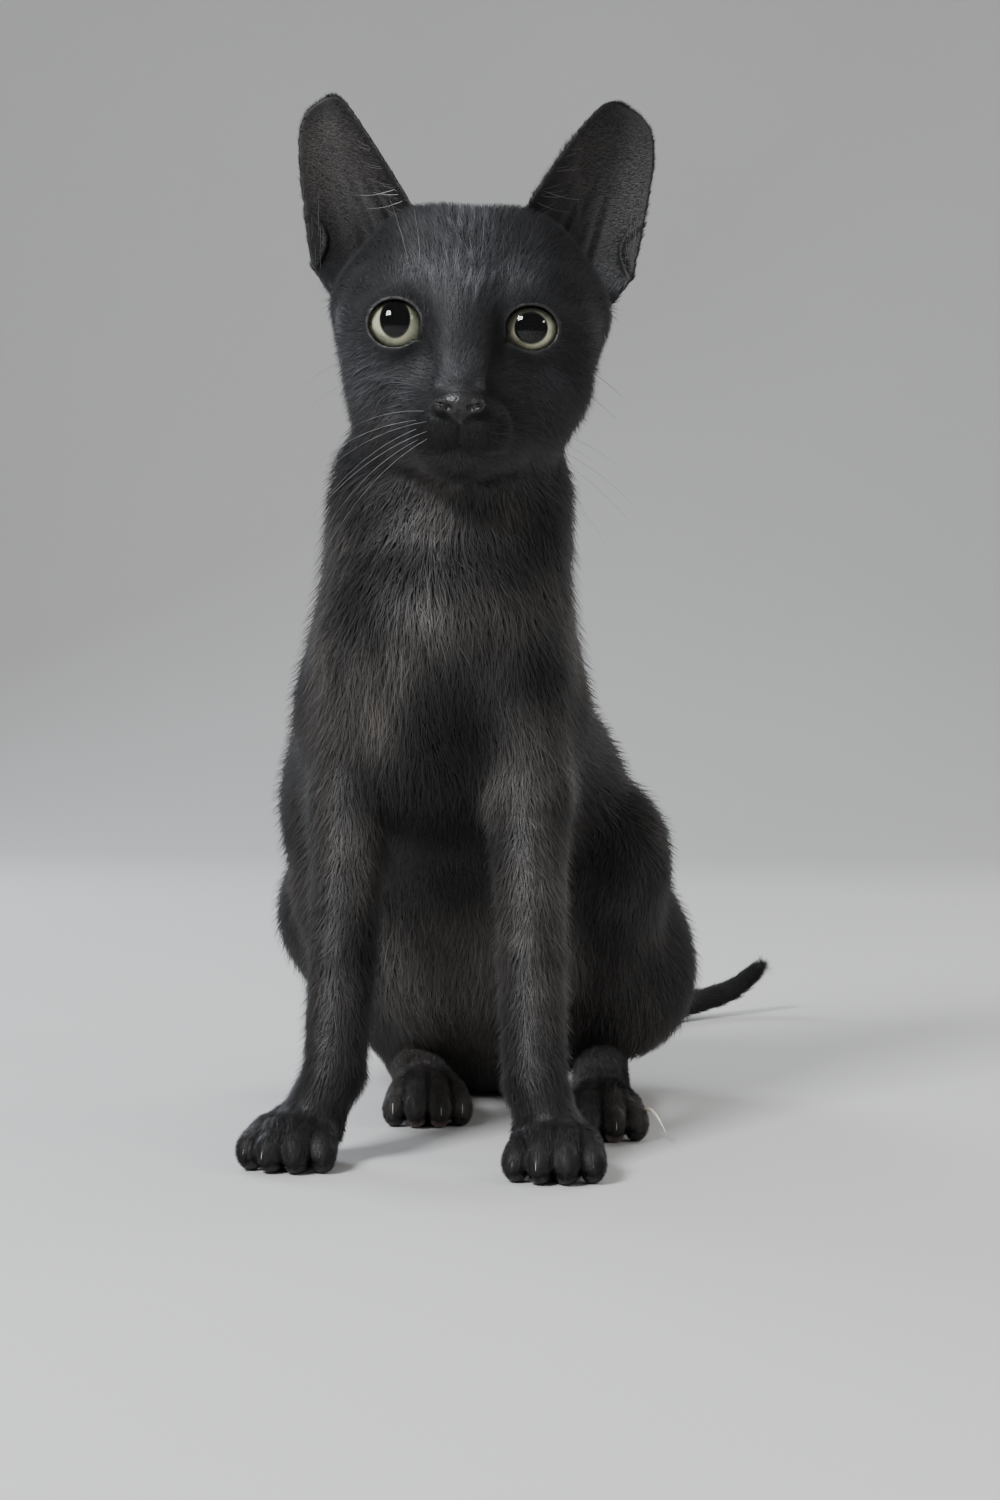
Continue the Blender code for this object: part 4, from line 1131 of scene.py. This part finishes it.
def fur_colour(k, tip_gain=1.0):
    """The black coat: blue-black to brown-black, its ends a little paler; thin places are brown-grey, with a painted
    cool, bluish sheen on the head.
    """
    a = k.attr("fur")
    tip, tone, pale = k.split(a.outputs["Color"])[:3]
    ring = a.outputs["Alpha"]
    xyz = k.node("ShaderNodeSeparateXYZ")
    k.put(xyz.inputs[0], k.coords())
    # painted cool sheen: high up, on the head, the coat's pale colours turn bluish grey
    cool_sheen = k.math("MULTIPLY", k.math("SUBTRACT", xyz.outputs[2], .203), 45.0, True)
    dark = k.mix(tone, (.0024, .0024, .0028), (.0078, .0074, .0080))
    thin = k.mix(tone, k.mix(cool_sheen, (.030, .0260, .0225), (.013, .0134, .0150)), k.mix(cool_sheen, (.112, .099, .088), (.112, .116, .129)))
    base = k.mix(pale, dark, thin)
    ends = k.mix(tone, (.008, .0078, .0086), (.034, .033, .035))
    t = k.math("MULTIPLY", k.math("POWER", tip, 1.6), .55 * tip_gain)
    c = k.mix(t, base, k.mix(pale, ends, k.mix(cool_sheen, (.20, .185, .17), (.15, .156, .17))))
    return k.mix(k.math("MULTIPLY", ring, .8), c, (.0026, .0025, .0028))


k = Nodes("fur")
matt = k.math("ADD", .51, k.math("MULTIPLY", k.attr("fur").outputs["Alpha"], .34))
k.set(Base_Color=fur_colour(k), Roughness=matt, Specular_IOR_Level=.33, Sheen_Weight=.03, Sheen_Roughness=.45, Sheen_Tint=(.75, .8, .9))
k.m.node_tree.nodes["Principled BSDF"].inputs["Sheen Tint"].default_value = (.76, .80, .9, 1)
FUR = k.m

k = Nodes("skin")
z = k.attr("zone")
leather, inner, bare = k.split(z.outputs["Color"])[:3]
ear_cup_light = z.outputs["Alpha"]
hairs = k.noise(900, 4, .6, None)
grain = k.noise(2300, 2, .5, None)
pebbles = k.node("ShaderNodeTexVoronoi", Scale=1500.0)
k.put(pebbles.inputs["Vector"], k.coords())
c = fur_colour(k)
inside = k.mix(k.noise(160, 3), (.026, .0215, .0195), (.064, .055, .050))
# painted light and shade inside the ears: brown-grey skin where the light reaches the upper cup, near black lower down
inside = k.mix(ear_cup_light, k.mix(grain, (.0035, .0032, .0032), (.008, .0074, .0074)), inside)
c = k.mix(inner, c, inside)
c = k.mix(bare, c, k.mix(grain, (.004, .0037, .0037), (.009, .008, .008)))
c = k.mix(leather, c, k.mix(pebbles.outputs[0], (.010, .0090, .0090), (.0045, .0042, .0044)))
rough = k.math("SUBTRACT", .64, k.math("MULTIPLY", leather, .20))
rough = k.math("SUBTRACT", rough, k.math("MULTIPLY", bare, .16))
k.set(Base_Color=c, Roughness=rough, Specular_IOR_Level=.5)
height = k.math("ADD", k.math("MULTIPLY", hairs, k.math("SUBTRACT", 1.0, k.math("MAXIMUM", leather, inner), True)),
                k.math("ADD", k.math("MULTIPLY", pebbles.outputs[0], k.math("MULTIPLY", leather, .6)), k.math("MULTIPLY", grain, inner)))
k.bump(height, .00022, .8)
SKIN = k.m

# painted light in the ear cups, upper middle only, full in the cat's right ear and under half in its left; painted
# shade towards the base
EAR_CUP_LIGHT_V = np.zeros(len(V))
for e in EARS:
    i = np.flatnonzero(INNER_V > .02)
    u_, v_, w_ = ear_local(e, V[i])
    mid_, half_, x_, _ = e.leaf(u_, v_)
    ok = (np.abs(V[i] - e.o) < 62).all(1) & (np.sign(to_head(V[i])[:, 0] - SKULL_X) == e.s)
    g_ = smooth01(v_, 2, 24) * smooth01(v_, e.long + 1, e.long - 12) * smooth01(x_, 1.0, .72) * (.7 + .3 * noise(V[i], 8, 71))
    EAR_CUP_LIGHT_V[i] = np.where(ok, g_ * (1.0 if e.s < 0 else .45), EAR_CUP_LIGHT_V[i])
EAR_CUP_LIGHT_V = np.clip(EAR_CUP_LIGHT_V, 0, 1)

me = skin.data
for name, cols in (("fur", (np.full(len(V), .25), np.clip(.5 + .5 * noise(V, 2.6, 41), 0, 1), PALE_V, RING_V)),
                   ("zone", (LEATHER_V, INNER_V, np.clip(LID_V + LIP_V, 0, 1), EAR_CUP_LIGHT_V))):
    a = me.attributes.new(name, "FLOAT_COLOR", "POINT")
    a.data.foreach_set("color", np.stack(cols, 1).astype(np.float32).ravel())
me.materials.clear()
me.materials.append(SKIN)
ride_as(skin)
FLESH = [n for n in frame["nodes"] if not n.startswith(("eye", "claw"))]
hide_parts(*FLESH)

# ------------------------------------------------------------------ the coat
def per_tri(x):
    return x[T].mean(1)


hair_t, bare_t, inner_t, ear_t, head_t = (per_tri(x) for x in (HAIR_V, BARE_V, INNER_V, EAR_V, HEAD_V))
centre_t = V[T].mean(1)
small = smooth01(hair_t, 6.6, 5.6)                       # where the short straight tufts grow
cover = 2.6 * np.ones(len(T))
cover = cover * (1 - ear_t) + ear_t * 2.2 * (1 - .45 * inner_t)
cover *= 1 - smooth01(bare_t, .25, .6)
cover *= smooth01(centre_t[:, 2], .2, 1.6) * .8 + .2
width = .085 + .022 * hair_t
per_mm2 = cover / (.5 * hair_t * width * .95)
want_small = (AREA * per_mm2 * small).sum()
want_body = (AREA * per_mm2 * (1 - small)).sum()
print("tufts wanted: small %d, body %d, budget %d %d" % (want_small, want_body, 590000 // 4, 870000 // 4))
BUDGET_SMALL, BUDGET_BODY = 590000 // 4, 870000 // 4
n_small, n_body = int(min(want_small, BUDGET_SMALL)), int(min(want_body, BUDGET_BODY))


def grow(name, weight, count, pieces, seed, **kw):
    """Tufts of one sort, split by where they grow into pieces of a fair size."""
    tri, bary = scatter(weight, count, seed)
    order = np.argsort(centre_t[tri, 2], kind="stable")
    for j, part in enumerate(np.array_split(order, pieces)):
        coat_piece("%s_%d" % (name, j + 1), *tufts(tri[part], bary[part], seed * 31 + j, **kw), FUR)


grow("coat_short", AREA * per_mm2 * small, n_small, 4, 1, kind="tet", cell=1.5, clumping=.16, wide=1.0 * max(1, want_small / BUDGET_SMALL) ** .5)
grow("coat_body", AREA * per_mm2 * (1 - small), n_body, 5, 2, kind="tet", cell=2.3, clumping=.09, wide=1.0 * max(1, want_body / BUDGET_BODY) ** .5)
# ------------------------------------------------------------------ eyes
def lathe(rows, around=96):
    """A surface of revolution: rows of (x scale, z scale, x shift, z shift, depth) rings, open at both ends."""
    a = np.arange(around) * 2 * np.pi / around
    v = [np.stack([np.full(around, r[2]) + r[0] * np.cos(a), np.full(around, r[3]) + r[1] * np.sin(a), np.full(around, r[4])], 1) for r in rows]
    v = np.concatenate(v)
    f = []
    for i in range(len(rows) - 1):
        j = np.arange(around)
        k = (j + 1) % around
        f.append(np.stack([i * around + j, i * around + k, (i + 1) * around + k], 1))
        f.append(np.stack([i * around + j, (i + 1) * around + k, (i + 1) * around + j], 1))
    return v, np.concatenate(f), np.tile(a, len(rows))


PUPILS = {-1: (4.5, 5.5, 0.0, 1.35), 1: (4.9, 4.6, 0.0, .2)}      # half width, half height, shift out, shift up


def eye_colours(t, a, seed, kind):
    """Iris colour at t (0 at the pupil, 1 at the limbus) and angle a, with the upper lid's shadow painted across its
    top, painted light lower down and towards the cat's left, and browner painted shade towards its right.
    """
    q = np.stack([np.cos(a) * 9, np.sin(a) * 9, t * 1.5 + seed * 7], 1)
    fibre = noise(q, .55, 51) * .5 + noise(q, 1.3, 52) * .5
    inner, outer = np.array([.86, .85, .57]), np.array([.86, .93, .70])
    c = inner[None] * (1 - t)[:, None] + outer[None] * t[:, None]
    c = c * (1 + .16 * fibre[:, None])
    c *= (1 - .55 * smooth01(t, .92, 1.0))[:, None]
    c *= (1 - .5 * smooth01(t, .10, .0))[:, None]
    up, out = np.sin(a), np.cos(a)
    # painted shadow of the upper lid across the top of the iris
    c *= (1 - .80 * smooth01(up, .15, .95))[:, None]
    # painted light lower down and towards the cat's left
    lift = .62 + .38 * smooth01(out * (1 if seed > 0 else -1) - .35 * up, -.8, .7)
    c *= lift[:, None]
    # painted shade, browner, on the iris's side towards the cat's right
    shaded_brown = smooth01(out * (1 if seed > 0 else -1), .3, -.8)[:, None] * (.75 if seed > 0 else .2)
    c = c * (1 - shaded_brown) + np.array([.23, .20, .14]) * shaded_brown * (1 + .2 * fibre[:, None])
    return np.clip(c, 0, 1)


k = Nodes("eye_iris")
k.set(Base_Color=k.attr("tint").outputs["Color"], Roughness=.42, Specular_IOR_Level=.35)
IRIS = k.m
k = Nodes("eye_dark")
k.set(Base_Color=k.mix(k.noise(800, 2), (.0018, .0018, .0022), (.0040, .0036, .0036)), Roughness=.25)
EYE_DARK = k.m
k = Nodes("eye_pupil")
k.set(Base_Color=k.mix(k.noise(800, 2), (.0006, .0006, .0008), (.0014, .0013, .0013)), Roughness=1.0, Specular_IOR_Level=0.0)
PUPIL_M = k.m
m = bpy.data.materials.new("eye_cornea")
m.use_nodes = True
t_ = m.node_tree
t_.nodes.remove(t_.nodes["Principled BSDF"])
clear, gloss, mixer, fres = (t_.nodes.new("ShaderNode" + n) for n in ("BsdfTransparent", "BsdfAnisotropic", "MixShader", "Fresnel"))
gloss.inputs["Roughness"].default_value = .025
fres.inputs["IOR"].default_value = 1.42
t_.links.new(fres.outputs[0], mixer.inputs[0])
t_.links.new(clear.outputs[0], mixer.inputs[1])
t_.links.new(gloss.outputs[0], mixer.inputs[2])
t_.links.new(mixer.outputs[0], t_.nodes["Material Output"].inputs[0])
CORNEA = m

for s, side in ((1, "left"), (-1, "right")):
    c, x, z, fw = eye_axes(s)
    basis = np.stack([x, z, fw])
    pw, ph, px, pz = PUPILS[s]
    R, LIMB = 9.4, 8.1
    back = [(R * math.sin(b), R * math.sin(b), 0, 0, R * math.cos(b)) for b in np.linspace(math.pi - .02, math.asin(LIMB / R), 24)]
    v, f, a = lathe(back + [(LIMB - .12, LIMB - .12, 0, 0, back[-1][4] - .12)], 96)
    ball_ob = mesh_of("eyeball_" + side, c + v @ basis, f if s > 0 else f[:, ::-1])
    ball_ob.data.materials.append(EYE_DARK)
    rows, ts = [], []
    for t in np.linspace(1, 0, 22):
        d = 5.30 + 1.15 * (1 - t) ** .8
        rows.append((pw + (LIMB - .1 - pw) * t, ph + (LIMB - .1 - ph) * t, px * (1 - t), pz * (1 - t), d))
        ts.append(t)
    for q in (.96, .9):
        rows.append((pw * q, ph * q, px, pz, 6.45 - (1 - q) * 5))
        ts.append(0)
    v, f, a = lathe(rows, 144)
    iris = mesh_of("iris_" + side, c + v @ basis, f if s > 0 else f[:, ::-1])
    col = iris.data.attributes.new("tint", "FLOAT_COLOR", "POINT")
    tt = np.repeat(ts, 144)
    rgb = eye_colours(tt, a, s, side)
    rgb[-288:] = .002
    col.data.foreach_set("color", np.column_stack([rgb, np.ones(len(rgb))]).astype(np.float32).ravel())
    iris.data.materials.append(IRIS)
    rows = [(pw * q, ph * q, px, pz, 5.95 - .5 * (1 - q)) for q in (.97, .6, .3, .02)]
    v, f, a = lathe(rows, 48)
    pupil = mesh_of("pupil_" + side, c + v @ basis, f if s > 0 else f[:, ::-1])
    pupil.data.materials.append(PUPIL_M)
    h_ = 10.15 - 5.33
    rc = (LIMB ** 2 + h_ ** 2) / (2 * h_)
    b0 = math.asin(LIMB / rc)
    b0 = b0 if h_ < rc else math.pi - b0
    rows = [(rc * math.sin(b), rc * math.sin(b), 0, 0, 10.15 - rc + rc * math.cos(b)) for b in np.linspace(b0, .01, 26)]
    v, f, a = lathe(rows, 96)
    cornea = mesh_of("cornea_" + side, c + v @ basis, f if s > 0 else f[:, ::-1])
    cornea.data.materials.append(CORNEA)
    for ob in (ball_ob, iris, pupil, cornea):
        bm = bmesh.new()
        bm.from_mesh(ob.data)
        rim = [e for e in bm.edges if e.is_boundary]
        small_rims = [e for e in rim if (Vector(world(c)) - e.verts[0].co).length and e.calc_length() < .00002]
        if small_rims:
            bmesh.ops.holes_fill(bm, edges=small_rims)
        bm.to_mesh(ob.data)
        bm.free()
        ob.data.shade_smooth()
        ride_as(ob)
    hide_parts("eye_" + side)


# ------------------------------------------------------------------ tubes: whiskers, ear hairs, claws
def tubes(paths, radii, sides=4):
    """Closed tapered tubes along paths of equal point count (M x K x 3), radii M x K."""
    P = np.asarray(paths, float)
    M, K = P.shape[:2]
    tan = unit(np.gradient(P, axis=1))
    ref = np.where(np.abs(tan[..., 2:3]) > .9, np.array([1.0, 0, 0]), np.array([0, 0, 1.0]))
    u = unit(np.cross(tan, ref))
    w = np.cross(tan, u)
    a = np.arange(sides) * 2 * np.pi / sides
    ring = P[:, :, None] + (u[:, :, None] * np.cos(a)[None, None, :, None] + w[:, :, None] * np.sin(a)[None, None, :, None]) * np.asarray(radii)[:, :, None, None]
    v = ring.reshape(M, -1, 3)
    f = []
    for i in range(K - 1):
        for j in range(sides):
            k_ = (j + 1) % sides
            p0, p1, p2, p3 = i * sides + j, i * sides + k_, (i + 1) * sides + k_, (i + 1) * sides + j
            f += [(p0, p1, p2), (p0, p2, p3)]
    for j in range(1, sides - 1):
        f += [(0, j + 1, j), ((K - 1) * sides, (K - 1) * sides + j, (K - 1) * sides + j + 1)]
    f = np.array(f)
    return v.reshape(-1, 3), (f[None] + (np.arange(M) * K * sides)[:, None, None]).reshape(-1, 3)


def arc(start, d0, bend, length, n_=9):
    """A path leaving start along d0 and curving by `bend` over its length."""
    t = np.linspace(0, 1, n_)[:, None]
    return np.array(start)[None] + (np.array(d0)[None] * t + np.array(bend)[None] * t * t) * length


def surface_point(x, z, y0=-36.0, y1=40.0):
    """Where a line straight back through x, z of the head meets the coat."""
    y = np.arange(y0, y1, .5)
    f = body_field(from_head(np.stack([np.full(len(y), x), y, np.full(len(y), z)], 1)))
    i = int(np.argmax(f < 0))
    return np.array([x, y[i], z])


r_ = np.random.default_rng(11)
paths, radii = [], []
ROWS_W = ((-28.8, (9.8,), 26), (-31.2, (9.0, 12.2), 40), (-33.8, (8.8, 12.0), 46), (-36.0, (8.8, 11.4), 38))
for s in (1, -1):
    for i, (z, xs, long) in enumerate(ROWS_W):
        for j, x in enumerate(xs):
            p = surface_point(s * x, z + r_.uniform(-.4, .4)) + np.array([0, .5, 0])
            d = unit(np.array([s * (.86 + .05 * j), -.10 + .22 * j + r_.uniform(-.06, .06), .20 - .17 * i + r_.uniform(-.07, .07)]))
            if s < 0:
                d = unit(d + np.array([0, .10, -.22]))
            bend = np.array([-s * .10, .30 + .05 * j, -.20 - .04 * i])
            L = long * r_.uniform(.8, 1.08)
            h_ = arc(p, d, bend, L, 12)
            paths.append(from_head(h_))
            radii.append(np.linspace(.070, .016, 12))
WHISK = (paths, radii)
paths2, radii2 = [], []
for s in (1, -1):
    for x, z, dx, long in ((13.0, 15.5, .02, 19), (16.5, 16.5, .2, 21)):
        p = surface_point(s * x, z) + np.array([0, .6, 0])
        d = unit(np.array([s * dx, -.55, .85]))
        paths2.append(from_head(arc(p, d, np.array([s * .12, .45, .12]), long * r_.uniform(.85, 1.1), 12)))
        radii2.append(np.linspace(.065, .018, 12))
    for x, z in ((36, -12), (34, -18)):
        p = surface_point(s * x, z) + np.array([0, .5, 0])
        paths2.append(from_head(arc(p, unit(np.array([s * .75, -.25, -.35])), np.array([0, .3, -.2]), 13, 12)))
        radii2.append(np.linspace(.09, .03, 12))
v, f = tubes(paths + paths2, np.array(radii + radii2), 5)
k = Nodes("whisker")
k.set(Base_Color=k.mix(k.math("MULTIPLY", k.noise(300, 2), k.split(k.attr("tint").outputs["Color"])[0]), (.010, .010, .011), (.40, .40, .41)), Roughness=.45, Specular_IOR_Level=.2)
ob = mesh_of("whiskers", v, f)
col = ob.data.attributes.new("tint", "FLOAT_COLOR", "POINT")
# painted light: the whiskers on the cat's right, its lit side, are painted pale, those on its left dark
wx = to_head(v)[:, 0]
g_ = smooth01(wx, 4, -8)[:, None] * np.ones((1, 3))
col.data.foreach_set("color", np.column_stack([g_, np.ones(len(g_))]).astype(np.float32).ravel())
ob.data.materials.append(k.m)
ride_as(ob)

# fine pale hairs inside the ears, from the inner edge and the base across the cup
paths, radii, tints = [], [], []
for e in EARS:
    for i in range(44):
        bold = i < 3
        if i < 18:
            v0 = (12, 14.2, 16)[i] if bold else r_.uniform(2, 30)
            inn, outr = e.halves(np.array([v0]))
            u0 = -inn[0] + (3.0 if bold else r_.uniform(1.5, 4.5))
            d = np.array([.9, (-.10, .16, -.05)[i], .25]) if bold else np.array([.8, r_.uniform(.15, .6), .35])
            L = (12, 8, 13)[i] if bold else r_.uniform(5, 10) * (1.1 - v0 / 60)
        elif i < 34:
            v0 = r_.uniform(-6, 4)
            u0 = r_.uniform(-12, 8)
            d = np.array([.25 + r_.uniform(-.2, .2), .9, .25])
            L = r_.uniform(7, 14)
        else:
            v0 = r_.uniform(0, 14)
            inn, outr = e.halves(np.array([v0]))
            u0 = outr[0] - r_.uniform(1.2, 3.5)
            d = np.array([-.45, .8, .3])
            L = r_.uniform(5, 9)
        w0 = float(e.sheet(np.array([u0]), np.array([v0]))[0]) + .6
        pth = arc((u0, v0, w0), unit(d), np.array([.12, .25, -.28]), L, 8)
        ws = e.sheet(pth[:, 0], pth[:, 1]) + .9
        pth[:, 2] = np.maximum(pth[:, 2], ws + .1)
        pth[:, 2] = np.where(pth[:, 2] > ws + 4, ws + 4, pth[:, 2])
        paths.append(e.o + pth @ e.axes.T)
        radii.append(np.linspace(.11 if bold else .06, .02, 8))
        tints.append((.75 if e.s < 0 else .35) if bold else .22)
v, f = tubes(paths, np.array(radii), 3)
k = Nodes("ear_hair")
k.set(Base_Color=k.mix(k.math("MULTIPLY", k.split(k.attr("tint").outputs["Color"])[0], k.math("ADD", k.noise(500, 2), .3)), (.02, .019, .018), (.55, .53, .50)), Roughness=.4, Specular_IOR_Level=.5)
ob = mesh_of("ear_hairs", v, f)
col = ob.data.attributes.new("tint", "FLOAT_COLOR", "POINT")
g_ = np.repeat(tints, len(v) // len(tints))[:, None] * np.ones((1, 3))
col.data.foreach_set("color", np.column_stack([g_, np.ones(len(g_))]).astype(np.float32).ravel())
ob.data.materials.append(k.m)
ride_as(ob)

# claws: hooks that leave the toes
k = Nodes("claw")
a_ = k.attr("tint")
k.set(Base_Color=a_.outputs["Color"], Roughness=.28, Specular_IOR_Level=.55, Coat_Weight=.2, Coat_Roughness=.2)
CLAW_M = k.m
for paw_name, s, toe, turned, size_ in (("fore_left", 1, FL_TOE, -2, 1.0), ("fore_right", -1, FR_TOE, 9, 1.0),
                                        ("hind_left", 1, HL_TOE, 3, HIND), ("hind_right", -1, HR_TOE, -6, HIND)):
    fwd, lat, at_ = paw_frame(s, toe, turned, size_)
    paths, radii = [], []
    for i in range(4):
        long_one = paw_name == "hind_left" and i == 3
        glimpse = (paw_name, i) in (("fore_left", 1), ("fore_right", 2), ("hind_right", 0), ("hind_right", 1), ("hind_right", 3), ("hind_left", 0), ("hind_left", 1), ("hind_left", 2))
        reach, splay = (1.8, 1.6) if long_one else (1.0, 0.0) if glimpse else (.55, 0.0)
        mid_ = abs(TOES[i]) < 5
        f0, l0 = (-3.6 if mid_ else -6.8), TOES[i] + (.6 if TOES[i] > 0 else -.6)
        t = np.linspace(0, 1, 14)
        ang = np.radians(150 - (150 - 105 + (72 + 20 * reach)) * t)
        arc_r = 5.4 * (.78 + .22 * reach) if long_one else 4.7 if glimpse else 3.7
        ff, zz = arc_r * np.cos(ang), 3.9 + arc_r * np.sin(ang)
        pos = at_(f0, 0, 0)[None] + (fwd[None] * ff[:, None] + lat[None] * (l0 + splay * t * reach * 3)[:, None] + np.array([0, 0, 1.0])[None] * zz[:, None]) * size_
        pos[:, 2] = np.maximum(pos[:, 2], .35)
        paths.append(pos)
        radii.append((.85 if long_one else .5) * (1 - .93 * t ** 1.5) + .02)
    v, f = tubes(paths, np.array(radii), 8)
    ob = mesh_of("claws_" + paw_name, v, f)
    tip = np.tile(np.repeat(np.linspace(0, 1, 14), 8), 4)[:, None]
    rgb = np.array([.06, .05, .045]) * (1 - tip) + np.array([.42, .38, .33]) * tip
    if paw_name == "hind_left":
        rgb[3 * 14 * 8:] = np.array([.50, .42, .34]) * (1 - tip[3 * 14 * 8:]) + np.array([.80, .74, .64]) * tip[3 * 14 * 8:]
    col = ob.data.attributes.new("tint", "FLOAT_COLOR", "POINT")
    col.data.foreach_set("color", np.column_stack([rgb, np.ones(len(rgb))]).astype(np.float32).ravel())
    ob.data.materials.append(CLAW_M)
    ride_as(ob)
    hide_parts(*["claw_%s_%d" % (paw_name, i + 1) for i in range(4)])

# toe and sole pads
k = Nodes("paw_pad")
vor = k.node("ShaderNodeTexVoronoi", Scale=1300.0)
k.put(vor.inputs["Vector"], k.coords())
k.set(Base_Color=k.mix(k.split(k.attr("tint").outputs["Color"])[0], k.mix(k.noise(260, 3), (.008, .0072, .007), (.020, .018, .017)), k.mix(k.noise(260, 3), (.055, .040, .037), (.15, .112, .104))), Roughness=.55)
k.bump(vor.outputs[0], .00018, .7)
PAD = k.m
pad_v, pad_f, pad_t, base = [], [], [], 0
bm = bmesh.new()
bmesh.ops.create_icosphere(bm, subdivisions=3, radius=1)
sv = np.array([q.co[:] for q in bm.verts])
sf = np.array([[q.index for q in face.verts] for face in bm.faces])
bm.free()
for s, toe, turned, size_ in ((1, FL_TOE, -2, 1.0), (-1, FR_TOE, 9, 1.0), (1, HL_TOE, 3, HIND), (-1, HR_TOE, -6, HIND)):
    fwd, lat, at_ = paw_frame(s, toe, turned, size_)
    items = [((-6.2 if abs(l) < 5 else -9.4), l, 2.7, (3.9, 3.1, 2.7)) for l in TOES] + [(-20.0, 0, 3.2, (6.0, 7.4, 3.2)), (-18.5, 5.5, 3.0, (4.5, 3.6, 3.0)), (-18.5, -5.5, 3.0, (4.5, 3.6, 3.0))]
    for f0, l0, z0, (rf, rl, rz) in items:
        q = np.sign(sv) * np.abs(sv) ** .92
        pos = at_(f0, l0, 0)[None] + (fwd[None] * (q[:, :1] * rf) + lat[None] * (q[:, 1:2] * rl) + np.array([0, 0, 1.0])[None] * (z0 + q[:, 2:] * rz)) * size_
        pos[:, 2] = np.maximum(pos[:, 2], .02)
        pad_v.append(pos)
        pad_f.append((sf if np.cross(fwd, lat)[2] > 0 else sf[:, ::-1]) + base)
        base += len(sv)
        pad_t.append(np.full(len(sv), 1.0 if size_ != 1.0 and f0 > -19 and f0 > -10 and abs(l0) < 5 else 0.0))
ob = mesh_of("paw_pads", np.concatenate(pad_v), np.concatenate(pad_f))
g_ = np.concatenate(pad_t)[:, None] * np.ones((1, 3))
ob.data.attributes.new("tint", "FLOAT_COLOR", "POINT").data.foreach_set("color", np.column_stack([g_, np.ones(len(g_))]).astype(np.float32).ravel())
ob.data.materials.append(PAD)
ride_as(ob)
# ------------------------------------------------------------------ stage, light and camera
def paint(name, colour, rough, scale, amount):
    k = Nodes(name)
    lo_, hi_ = tuple(c * (1 - amount) for c in colour), tuple(min(1, c * (1 + amount)) for c in colour)
    k.set(Base_Color=k.mix(k.noise(scale, 4), lo_, hi_), Roughness=rough, Specular_IOR_Level=.3)
    return k.m


n = 24
prof = [(-3.0, 0.0), (1.3, 0.0)] + [(1.3 + .9 * math.sin(a), .9 - .9 * math.cos(a)) for a in np.linspace(.08, math.pi / 2, n)] + [(2.2, 4.0)]
bm = bmesh.new()
rows = []
for x in (-40, 40):
    rows.append([bm.verts.new((x, y, z)) for y, z in prof])
for i in range(len(prof) - 1):
    bm.faces.new((rows[0][i], rows[1][i], rows[1][i + 1], rows[0][i + 1]))
me = bpy.data.meshes.new("studio_floor")
bm.to_mesh(me)
bm.free()
floor = bpy.data.objects.new("studio_floor", me)
bpy.context.scene.collection.objects.link(floor)
me.shade_smooth()
me.materials.append(paint("studio_floor", (.56, .555, .545), .75, 3.0, .03))
floor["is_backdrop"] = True


def lamp(name, at_, aim, size, power, colour):
    l = bpy.data.lights.new(name, "AREA")
    l.shape, l.size, l.energy, l.color = "SQUARE", size, power, colour
    o = bpy.data.objects.new(name, l)
    bpy.context.scene.collection.objects.link(o)
    o.location = at_
    o.rotation_euler = (Vector(aim) - Vector(at_)).to_track_quat("-Z", "Y").to_euler()
    return o


lamp("key", (-.66, -1.2, 1.12), (0, -.05, .17), .42, 38, (.95, .97, 1.0))
lamp("glint", (1.3, -.85, .85), (0, -.05, .2), .25, 3, (1, .98, .95))
lamp("fill", (1.5, -.9, .7), (0, -.05, .15), 1.4, 5.5, (1.0, .97, .93)).visible_glossy = False
lamp("back_left", (-.95, 1.0, .95), (0, 0, .15), .7, 15, (.84, .91, 1.0))
lamp("back_right", (1.0, .9, .8), (0, 0, .13), .7, 7, (1.0, .98, .95))
lamp("top", (0, .3, 1.9), (0, 0, .1), 1.2, 8, (1, 1, 1)).visible_glossy = False
w = bpy.data.worlds.new("studio")
bpy.context.scene.world = w
w.use_nodes = True
w.node_tree.nodes["Background"].inputs[0].default_value = (.86, .88, .92, 1)
w.node_tree.nodes["Background"].inputs[1].default_value = .36

# the camera stands low in front of the cat, a little to its left, and looks a little down
FOCAL_PX, HEIGHT, YAW, PITCH = 2466.0, .130, math.radians(4), math.atan((750 - 712.6) / 2466)
across = np.array([math.cos(YAW), -math.sin(YAW)])
ahead = np.array([math.sin(YAW), math.cos(YAW)])
inv = np.linalg.inv(np.stack([across, ahead], 1))
spot = inv @ (-np.array([-6.5, 800.0]))
aim = inv @ np.array([0, 1.0])
cam = bpy.data.objects.new("camera", bpy.data.cameras.new("camera"))
bpy.context.scene.collection.objects.link(cam)
cam.location = ((spot[0] + SHIFT[0]) * .001, (spot[1] + SHIFT[1]) * .001, HEIGHT)
cam.rotation_euler = Vector((aim[0] * math.cos(PITCH), aim[1] * math.cos(PITCH), -math.sin(PITCH))).to_track_quat("-Z", "Y").to_euler()
cam.data.sensor_width = 36
cam.data.lens = FOCAL_PX / 1500 * 36
cam.data.clip_start = .01
bpy.context.scene.camera = cam

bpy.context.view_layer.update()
total = 0
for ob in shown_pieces():
    if ob.type == "MESH":
        count = sum(len(p.vertices) - 2 for p in ob.data.polygons) if len(ob.data.polygons) < 5000 else len(ob.data.loops) // 3
        total += count
print("TRIANGLES", total)
